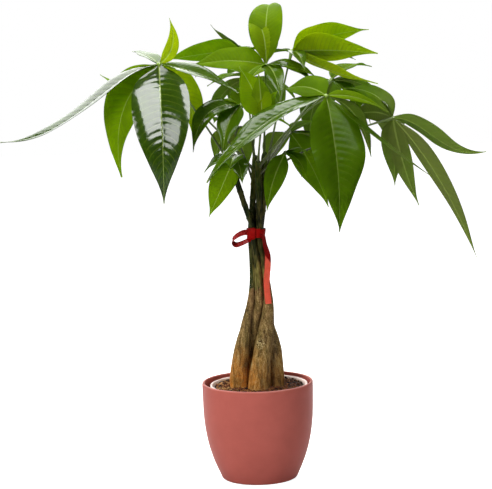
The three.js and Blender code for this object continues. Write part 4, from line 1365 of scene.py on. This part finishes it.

# %% [markdown]
# ## The leaves
#
# Each leaf has a hub on its stalk and blades that radiate from it. The table gives, for every
# blade, where its tip is from the hub (right, away, up), its width, its arch, its turn about its
# midrib, and its tone from 0, dark, to 1, yellow green. The tone is partly the blade's age, dark
# when old and yellow green when young, and partly painted light: blades in the light have a
# brighter tone and blades in shade a darker one. Two blades have one more number, which bends
# their outer half further. The first ten leaves are those that the front shows. The rest fill
# the crown behind them.

# %% The table of leaves
# name: trunk, height of the stalk's foot, sag of the stalk, hub, blades
LEAVES = {
    "far_left": ("trunk_back_left", 390, 14, (-110, -20, 524), [
        (-197, -10, -89, 38, 0.067, -14, 0.14, -0.27),
        (-51, 8, -138, 60, 0.17, -58, 0.68),
        (3, -55, -166, 70, 0.16, 4, 0.12),
        (38, 36, -108, 40, 0.2, -12, 0.9),
        (97, -16, -37, 40, 0.05, 15, 0.3),
        (-36, 62, 16, 24, 0.05, 0, 0.35),
        (14, 10, 56, 17, -0.22, 55, 0.98),
        (-77, 58, -12, 26, -0.2, -26, 0.7),
    ]),
    "upper_left": ("trunk_left", 398, 6, (-7, 38, 538), [
        (-40, 42, 33, 24, -0.08, 45, 0.3),
        (-98, 8, -10, 42, 0.02, 38, 0.72),
        (40, 62, -6, 34, 0.04, 0, 0.6),
        (-4, 90, -14, 38, 0.04, 0, 0.6),
        (-62, 66, -34, 36, 0.16, 0, 0.6),
    ]),
    "top": ("trunk_back_right", 402, 4, (21, 4, 519), [
        (10, 98, 73, 43, 0.27, -6, 0.62),
        (-20, 58, 50, 36, 0.34, -2, 0.82),
        (-94, -4, 2, 44, 0.06, -42, 0.64),
        (62, -14, -16, 34, 0.08, 14, 0.5),
        (16, -48, -40, 25, 0.16, 0, 0.4),
        (-34, -34, -28, 28, 0.14, 0, 0.6),
        (62, -20, -30, 30, 0.14, 10, 0.35),
    ]),
    "upper_right": ("trunk_right", 399, 6, (54, 22, 535), [
        (96, -10, 24, 44, 0.06, -44, 0.9),
        (105, -30, -5, 52, 0.02, -42, 0.88),
        (103, -46, -42, 32, -0.04, -30, 0.95),
        (-48, 36, -14, 30, 0.08, 0, 0.5),
        (14, -46, -22, 20, 0.12, 0, 0.35),
        (26, 92, -16, 38, 0.04, 0, 0.55),
        (84, 72, -14, 36, 0.06, 0, 0.6),
    ]),
    "front_right": ("trunk_front", 392, 16, (91, -75, 482), [
        (11, -25, -161, 74, 0.06, -6, 0.46),
        (-146, -22, -98, 54, 0.09, -14, 0.31),
        (126, 12, -101, 24, -0.02, 16, 0.4),
        (77, 35, -23, 19, 0.08, 38, 0.68),
        (56, 46, -78, 29, 0.16, 0, 0.35),
        (-49, 52, 7, 42, 0.1, -30, 0.5),
    ]),
    "far_right": ("trunk_right", 388, 12, (176, -10, 450), [
        (112, -20, -43, 36, 0.09, -36, 0.46, -0.36),
        (98, -26, -173, 34, 0.05, -46, 0.33),
        (3, 24, -86, 32, 0.1, 0, 0.48),
        (33, 26, -112, 25, -0.04, -40, 0.48),
        (-49, 24, 2, 34, 0.12, 60, 0.25),
        (-58, 10, 38, 31, 0.17, -38, 0.48),
        (4, 90, -44, 40, 0.14, 0, 0.4),
    ]),
    "centre": ("trunk_front", 400, 4, (14, -45, 455), [
        (-26, 2, 64, 38, 0.06, -100, 0.72),
        (-3, -14, 56, 26, 0.04, 0, 0.6),
        (20, -2, 34, 22, 0.06, -55, 0.8),
        (-33, -6, -24, 22, 0.12, 0, 0.5),
        (36, 6, -12, 26, 0.12, 0, 0.6),
    ]),
    "centre_left": ("trunk_back_left", 397, 6, (-11, -14, 471), [
        (-60, -28, -55, 36, 0.26, -20, 0.3),
        (-43, 26, 3, 24, 0.08, 0, 0.75),
        (-24, -30, -56, 30, 0.14, -20, 0.4),
        (8, 34, 22, 30, 0.12, 0, 0.6),
    ]),
    "low_left": ("trunk_back_left", 380, 4, (-20, -34, 410), [
        (-34, -22, -72, 38, 0.0, -25, 0.6),
        (-38, -12, -18, 26, 0.12, -10, 0.4),
        (8, -22, -32, 24, 0.12, 0, 0.4),
        (-6, -40, -14, 26, 0.12, 0, 0.35),
    ]),
    "low_right": ("trunk_front", 384, 3, (42, -26, 412), [
        (-25, -16, -70, 26, 0.06, -60, 0.5),
        (24, -20, -30, 26, 0.16, 0, 0.5),
        (30, -6, -2, 26, 0.12, 0, 0.5),
        (19, 4, -31, 24, 0.14, 30, 0.45),
    ]),
    "back_left": ("trunk_left", 388, 10, (-106, 84, 498), [
        (-72, 34, -48, 42, 0.16, 0, 0.5),
        (-26, 70, -62, 46, 0.18, 0, 0.4),
        (-36, 14, -66, 38, 0.16, -20, 0.55),
        (10, 72, -30, 40, 0.16, 0, 0.45),
        (-50, 64, 8, 34, 0.12, 0, 0.6),
        (30, 44, 22, 34, 0.12, 0, 0.6),
    ]),
    "back": ("trunk_left", 380, 12, (4, 118, 500), [
        (-58, 44, -58, 36, 0.16, 0, 0.4),
        (-24, 84, -64, 42, 0.16, 0, 0.35),
        (42, 72, -60, 42, 0.16, 0, 0.4),
        (62, 14, -38, 36, 0.14, 0, 0.45),
        (-58, -22, -8, 34, 0.12, 0, 0.5),
        (24, 50, 10, 32, 0.12, 0, 0.65),
        (-34, 60, 2, 32, 0.12, 0, 0.6),
    ]),
    "back_right": ("trunk_back_right", 390, 12, (106, 92, 496), [
        (78, 14, -46, 40, 0.16, 0, 0.5),
        (54, 64, -62, 40, 0.16, 0, 0.45),
        (-6, 84, -62, 42, 0.16, 0, 0.4),
        (-28, 44, -92, 40, 0.18, 0, 0.35),
        (38, -22, -70, 40, 0.16, 0, 0.45),
        (56, 50, 14, 36, 0.12, 0, 0.6),
    ]),
    "low_back": ("trunk_back_right", 378, 6, (50, 50, 432), [
        (46, -20, -94, 42, 0.05, 50, 0.6),
        (60, 24, -46, 36, 0.14, 0, 0.4),
        (32, 70, -54, 38, 0.16, 0, 0.35),
        (-28, 66, -56, 38, 0.16, 0, 0.35),
        (60, 56, 0, 34, 0.12, 0, 0.5),
    ]),
    "low_back_left": ("trunk_left", 372, 6, (-22, 66, 438), [
        (-26, 52, -46, 30, 0.14, 0, 0.4),
        (-8, 78, -52, 34, 0.16, 0, 0.35),
        (16, 68, -64, 38, 0.16, 0, 0.35),
        (-20, 34, 24, 30, 0.1, 0, 0.5),
        (-26, 74, 4, 32, 0.12, 0, 0.5),
    ]),
}
print("leaves:", len(LEAVES), "blades:", sum(len(leaf[4]) for leaf in LEAVES.values()))

# %% [markdown]
# The blades of a leaf are joined and given their thickness by Solidify, which also gives the far
# face the second material. Then the stalk and its hub are joined to them, so that each leaf is
# one piece, as it grew.

# %% Growing the leaves
BLADE_SKIN = 0.5

for name, (trunk_name, height, sag, hub, blades) in LEAVES.items():
    hub = Vector(hub)
    laid = join("blades", [lay_blade(hub, *blade) for blade in blades])
    laid.data.materials.clear()
    laid.data.materials.append(leaf_top_face)
    laid.data.materials.append(leaf_under_face)
    apply(laid, "thickness", "SOLIDIFY", thickness=BLADE_SKIN * MM, offset=0.0, material_offset=1)
    shade(laid, 60)
    stalk = grow_stalk(trunk_name, height, hub, sag)
    stalk.data.materials.append(stalk_green)
    shade(stalk, 60)
    foliage = join("foliage_" + name, [laid, stalk])
    settle(foliage, "leaf", "leaf_" + name)
for model in (large_blade, small_blade):
    bpy.data.objects.remove(model)

# %% [markdown]
# ## The ribbon
#
# A satin ribbon, 10 mm wide, ties the trunks. It is a strip of cloth, so it is made from flat
# grids that are laid along given points: twice round the neck, over itself in a knot, out
# in a loop at the left and back, and down in a tail at the right. Its breadth turns smoothly
# from one direction to another along the way. Solidify gives it the thickness of cloth.
#
# Cloth ribbon is woven, so fine ribs cross it, and its edges are painted darker as shade. Its
# satin face is a deep red. A little way down, the tail is painted a bright coral as the light
# that falls on it, on both its faces, so its material changes colour along a slanted line. The
# strip's own UV map says where the ribs go.

# %% The ribbon's satin
DEEP_RED = colour(138, 10, 8)
# painted light: the bright coral of the lit tail, in place of its deep red
PAINTED_LIT_CORAL = colour(252, 100, 78)
EDGE_SHADE_RED = (0.12, 0.004, 0.004, 1)
BORDER_SLANT = 1.4
BORDER = (0.3015, 0.3045)


def satin(name, red, sheen, upper=None):
    """A face of the ribbon. Above the slanted border it has the upper colour, if there is one."""
    material, tree, shader = new_material(name, Roughness=0.5, Sheen_Weight=sheen,
                                          Sheen_Roughness=0.35, IOR=1.5, Specular_IOR_Level=0.02)
    weave = wire(tree, "ShaderNodeUVMap", uv_map="UVMap").outputs["UV"]
    ribs = wire(tree, "ShaderNodeTexWave", {"Vector": weave, "Scale": 46.0, "Distortion": 0.4},
                bands_direction="Y").outputs["Fac"]
    place = own_place(tree)
    reds = mottled(tree, red, place, 120.0, 0.1)["Color"]
    if upper:
        spot = apart(tree, place)
        slanted = maths(tree, "MULTIPLY_ADD", spot["X"], BORDER_SLANT, spot["Z"])
        reds = blend(tree, between(tree, slanted, *BORDER), reds, upper)
    from_middle = maths(tree, "SUBTRACT", apart(tree, weave)["X"], 0.5)
    # painted shade: the strip turns darker towards its edges
    edge = between(tree, maths(tree, "ABSOLUTE", from_middle), 0.44, 0.48, 0.0, 0.4)
    give_looks(tree, shader, blend(tree, edge, reds, EDGE_SHADE_RED), bump(tree, ribs, 0.25, 0.0003))
    return material


ribbon_face = satin("ribbon_face", DEEP_RED, 0.0)
# the tail has the painted light: coral below the slanted border, deep red above it
ribbon_tail_painted_light = satin("ribbon_tail_painted_light", PAINTED_LIT_CORAL, 0.02, upper=DEEP_RED)
print("materials:", ribbon_face.name, ribbon_tail_painted_light.name)

# %% A strip along a route
RIBBON_WIDTH = 10.0
RIBBON_COLUMNS = 6


def line_through(points, count):
    """Even steps along a smooth line through given points, and the line's length."""
    stations = [(i, *point) for i, point in enumerate(points)]
    fine_places = smooth_between(stations, np.linspace(0, len(points) - 1, 400))
    gaps = np.linalg.norm(np.diff(fine_places, axis=0), axis=1)
    run = np.concatenate([[0], np.cumsum(gaps)])
    evenly = np.linspace(0, run[-1], count)
    places = np.column_stack([np.interp(evenly, run, fine_places[:, k]) for k in range(3)])
    return places, run[-1]


def strip(name, route, breadths):
    """A flat strip along a route, whose breadth is given at every step."""
    ways = np.gradient(route, axis=0)
    piece = add(name, bpy.ops.mesh.primitive_grid_add, x_subdivisions=RIBBON_COLUMNS,
                y_subdivisions=len(route) - 1, size=1)
    flat = points_of(piece)
    rows = np.rint((flat[:, 1] + 0.5) * (len(route) - 1)).astype(int)
    ways /= np.linalg.norm(ways, axis=1)[:, None]
    breadths = breadths - ways * np.sum(breadths * ways, axis=1)[:, None]
    breadths /= np.linalg.norm(breadths, axis=1)[:, None]
    places = route[rows] + breadths[rows] * flat[:, :1] * RIBBON_WIDTH
    place_points(piece, places * MM)
    return piece


def turning(count, first, last, low, high):
    """A breadth for each of so many steps, turning from the first to the last between shares."""
    shares = [smoothstep(i / (count - 1), low, high) for i in range(count)]
    shares = np.array(shares)[:, None]
    return np.array(first) * (1 - shares) + np.array(last) * shares


def band_route(turns, level_start, level_end, clear, start_angle):
    """A route round the five stems at the neck, as a tight ribbon takes it, with a slope."""
    count = int(72 * turns)
    places = []
    for i in range(count + 1):
        share = i / count
        angle = start_angle + 2 * math.pi * turns * share
        level = level_start + (level_end - level_start) * share
        reach = NECK_HALF + clear
        places.append((NECK_LEAN + reach * math.cos(angle), reach * math.sin(angle), level))
    return np.array(places)


# %% Winding the ribbon
RIBBON_SKIN = 0.35
BAND_LEVEL = 311.0
BAND_SLOPE = 1.5
BAND_CLEAR = 0.9
BAND_TILT = 0.012
BAND_START = math.radians(-60)
RIBBON_LOOP = [(-3, -9.5, 313), (-13, -8.6, 312.5), (-22, -7.4, 308), (-26.4, -6.2, 302.5),
               (-22.6, -5.6, 297.4), (-14, -6.4, 299.5), (-3, -9.8, 305)]
RIBBON_KNOT = [(-3, -9.9, 303.6), (-3.4, -12.3, 306.2), (-3.2, -13.3, 311), (-2.8, -12.3, 315.8),
               (-2.4, -9.9, 318.4)]
RIBBON_TAIL = [(9.5, -8.2, 312), (12.4, -8.4, 307), (14, -8.8, 297), (17, -10.5, 284),
               (16.6, -12.5, 270), (14.8, -15, 252), (15.2, -17.5, 238), (16.4, -20, 224)]

band = band_route(2.0, BAND_LEVEL - BAND_SLOPE, BAND_LEVEL + BAND_SLOPE, BAND_CLEAR, BAND_START)
band_breadths = np.tile((0.0, 0.0, 1.0), (len(band), 1))
band_breadths[:, 0] += band[:, 0] * BAND_TILT
loop, loop_run = line_through(RIBBON_LOOP, 60)
tail, tail_run = line_through(RIBBON_TAIL, 80)
knot, knot_run = line_through(RIBBON_KNOT, 24)
knot_breadths = np.tile((0.95, -0.05, 0.18), (len(knot), 1))
ribbon_parts = [
    strip("band", band, band_breadths),
    strip("knot", knot, knot_breadths),
    strip("loop", loop, turning(len(loop), (0.1, 0.8, 0.6), (0.1, 0.85, 0.5), 0.1, 0.9)),
    strip("tail", tail, turning(len(tail), (0.4, 0.9, 0.1), (0.75, 0.66, 0), 0.1, 0.45)),
]
for part, face in zip(ribbon_parts, (ribbon_face, ribbon_face, ribbon_face, ribbon_tail_painted_light)):
    part.data.materials.append(face)
ribbon = join("red_ribbon", ribbon_parts)
apply(ribbon, "cloth", "SOLIDIFY", thickness=RIBBON_SKIN * MM, offset=0.0)
shade(ribbon, 50)
settle(ribbon, "ribbon", "ribbon")

# %% [markdown]
# ## Floor, light and camera
#
# The plant stands on a plain white ground in an even studio light. Three soft lights shine on
# it: one from the front left, one from above, and one from behind, which shines through the
# young leaves. The camera sees the ground and the studio as white, but they light the plant less
# than that. The white bars on the glossy blades come from two more that are seen in shiny
# surfaces only, so they can be moved until the bars sit right without changing how bright the
# plant is.

# %% The floor
FLOOR_SIZE = 12
FLOOR_GREY = (0.6, 0.6, 0.6, 1)
FLOOR_GLOW = 0.92
WHITE = (1, 1, 1, 1)

floor = add("floor", bpy.ops.mesh.primitive_plane_add, size=FLOOR_SIZE)
paper, tree, shader = new_material("white_ground", Roughness=0.9)
shader.inputs["Base Color"].default_value = FLOOR_GREY
glow = wire(tree, "ShaderNodeEmission", {"Color": WHITE, "Strength": FLOOR_GLOW}).outputs[0]
seen_white = wire(tree, "ShaderNodeAddShader", {0: shader.outputs[0], 1: glow}).outputs[0]
path = wire(tree, "ShaderNodeLightPath").outputs
choice = wire(tree, "ShaderNodeMixShader",
              {"Fac": path["Is Camera Ray"], 1: shader.outputs[0], 2: seen_white})
tree.links.new(choice.outputs[0], tree.nodes["Material Output"].inputs["Surface"])
floor.data.materials.append(paper)

# %% The lights
CROWN = (0, 0, 0.45)


def soft_light(name, place, size, power, gloss_only=False):
    """A soft box. One that is for gloss only is seen in shiny surfaces and lights nothing else."""
    lamp = bpy.data.lights.new(name, "AREA")
    lamp.shape = "RECTANGLE"
    lamp.size, lamp.size_y = size
    lamp.energy = power
    holder = bpy.data.objects.new(name, lamp)
    bpy.context.scene.collection.objects.link(holder)
    holder.location = place
    to_crown = Vector(CROWN) - Vector(place)
    holder.rotation_euler = to_crown.to_track_quat("-Z", "Y").to_euler()
    holder.visible_diffuse = holder.visible_transmission = not gloss_only
    holder.visible_camera = False
    return holder


soft_light("key_light", (-1.2, -1.6, 1.2), (0.9, 0.9), 34)
sky = soft_light("sky_light", (0.1, 0.1, 1.9), (1.4, 1.4), 34)
sky.visible_glossy = False
soft_light("back_light", (-0.3, 1.6, 1.15), (2.0, 0.7), 26)
soft_light("gloss_panel", (0.45, -0.75, 1.5), (1.1, 1.6), 104, gloss_only=True)
soft_light("gloss_behind", (-0.5, 1.0, 1.8), (2.2, 1.2), 66, gloss_only=True)

# %% The white studio
world = bpy.data.worlds.new("studio")
bpy.context.scene.world = world
world.use_nodes = True
tree = world.node_tree
tree.nodes.clear()
way = wire(tree, "ShaderNodeTexCoord").outputs["Generated"]
path = wire(tree, "ShaderNodeLightPath").outputs
backdrop = between(tree, apart(tree, way)["Y"], 0.0, 0.6, 0.1, 1.0)
backdrop = times(tree, backdrop, between(tree, path["Is Glossy Ray"], 0.0, 1.0, 1.0, 0.08))
seen = wire(tree, "ShaderNodeBackground", {"Color": WHITE, "Strength": 1.0}).outputs[0]
lighting = wire(tree, "ShaderNodeBackground", {"Color": WHITE, "Strength": backdrop}).outputs[0]
choice = wire(tree, "ShaderNodeMixShader", {"Fac": path["Is Camera Ray"], 1: lighting, 2: seen})
wire(tree, "ShaderNodeOutputWorld", {"Surface": choice.outputs[0]})
bpy.context.scene.view_settings.view_transform = "Standard"
print("world:", world.name)

# %% [markdown]
# The camera stands where the picture was taken from: 2.2 m in front, a little above the crown's
# middle, looking down by 7 degrees with a long lens. It is tilted by 1.6 degrees, which is why
# the plant seems to lean to the left.

# %% The camera
CAMERA_PLACE = (-0.0097, -2.2, 0.566)
CAMERA_PITCH = 6.98
CAMERA_ROLL = 1.6
CAMERA_LENS = 129.7
CAMERA_SENSOR = 36

lens = bpy.data.cameras.new("camera")
lens.lens = CAMERA_LENS
lens.sensor_width = CAMERA_SENSOR
camera = bpy.data.objects.new("camera", lens)
bpy.context.scene.collection.objects.link(camera)
camera.location = CAMERA_PLACE
camera.rotation_mode = "ZYX"
camera.rotation_euler = (math.radians(90 - CAMERA_PITCH), 0, math.radians(-CAMERA_ROLL))
bpy.context.scene.camera = camera
print("camera:", CAMERA_PLACE)
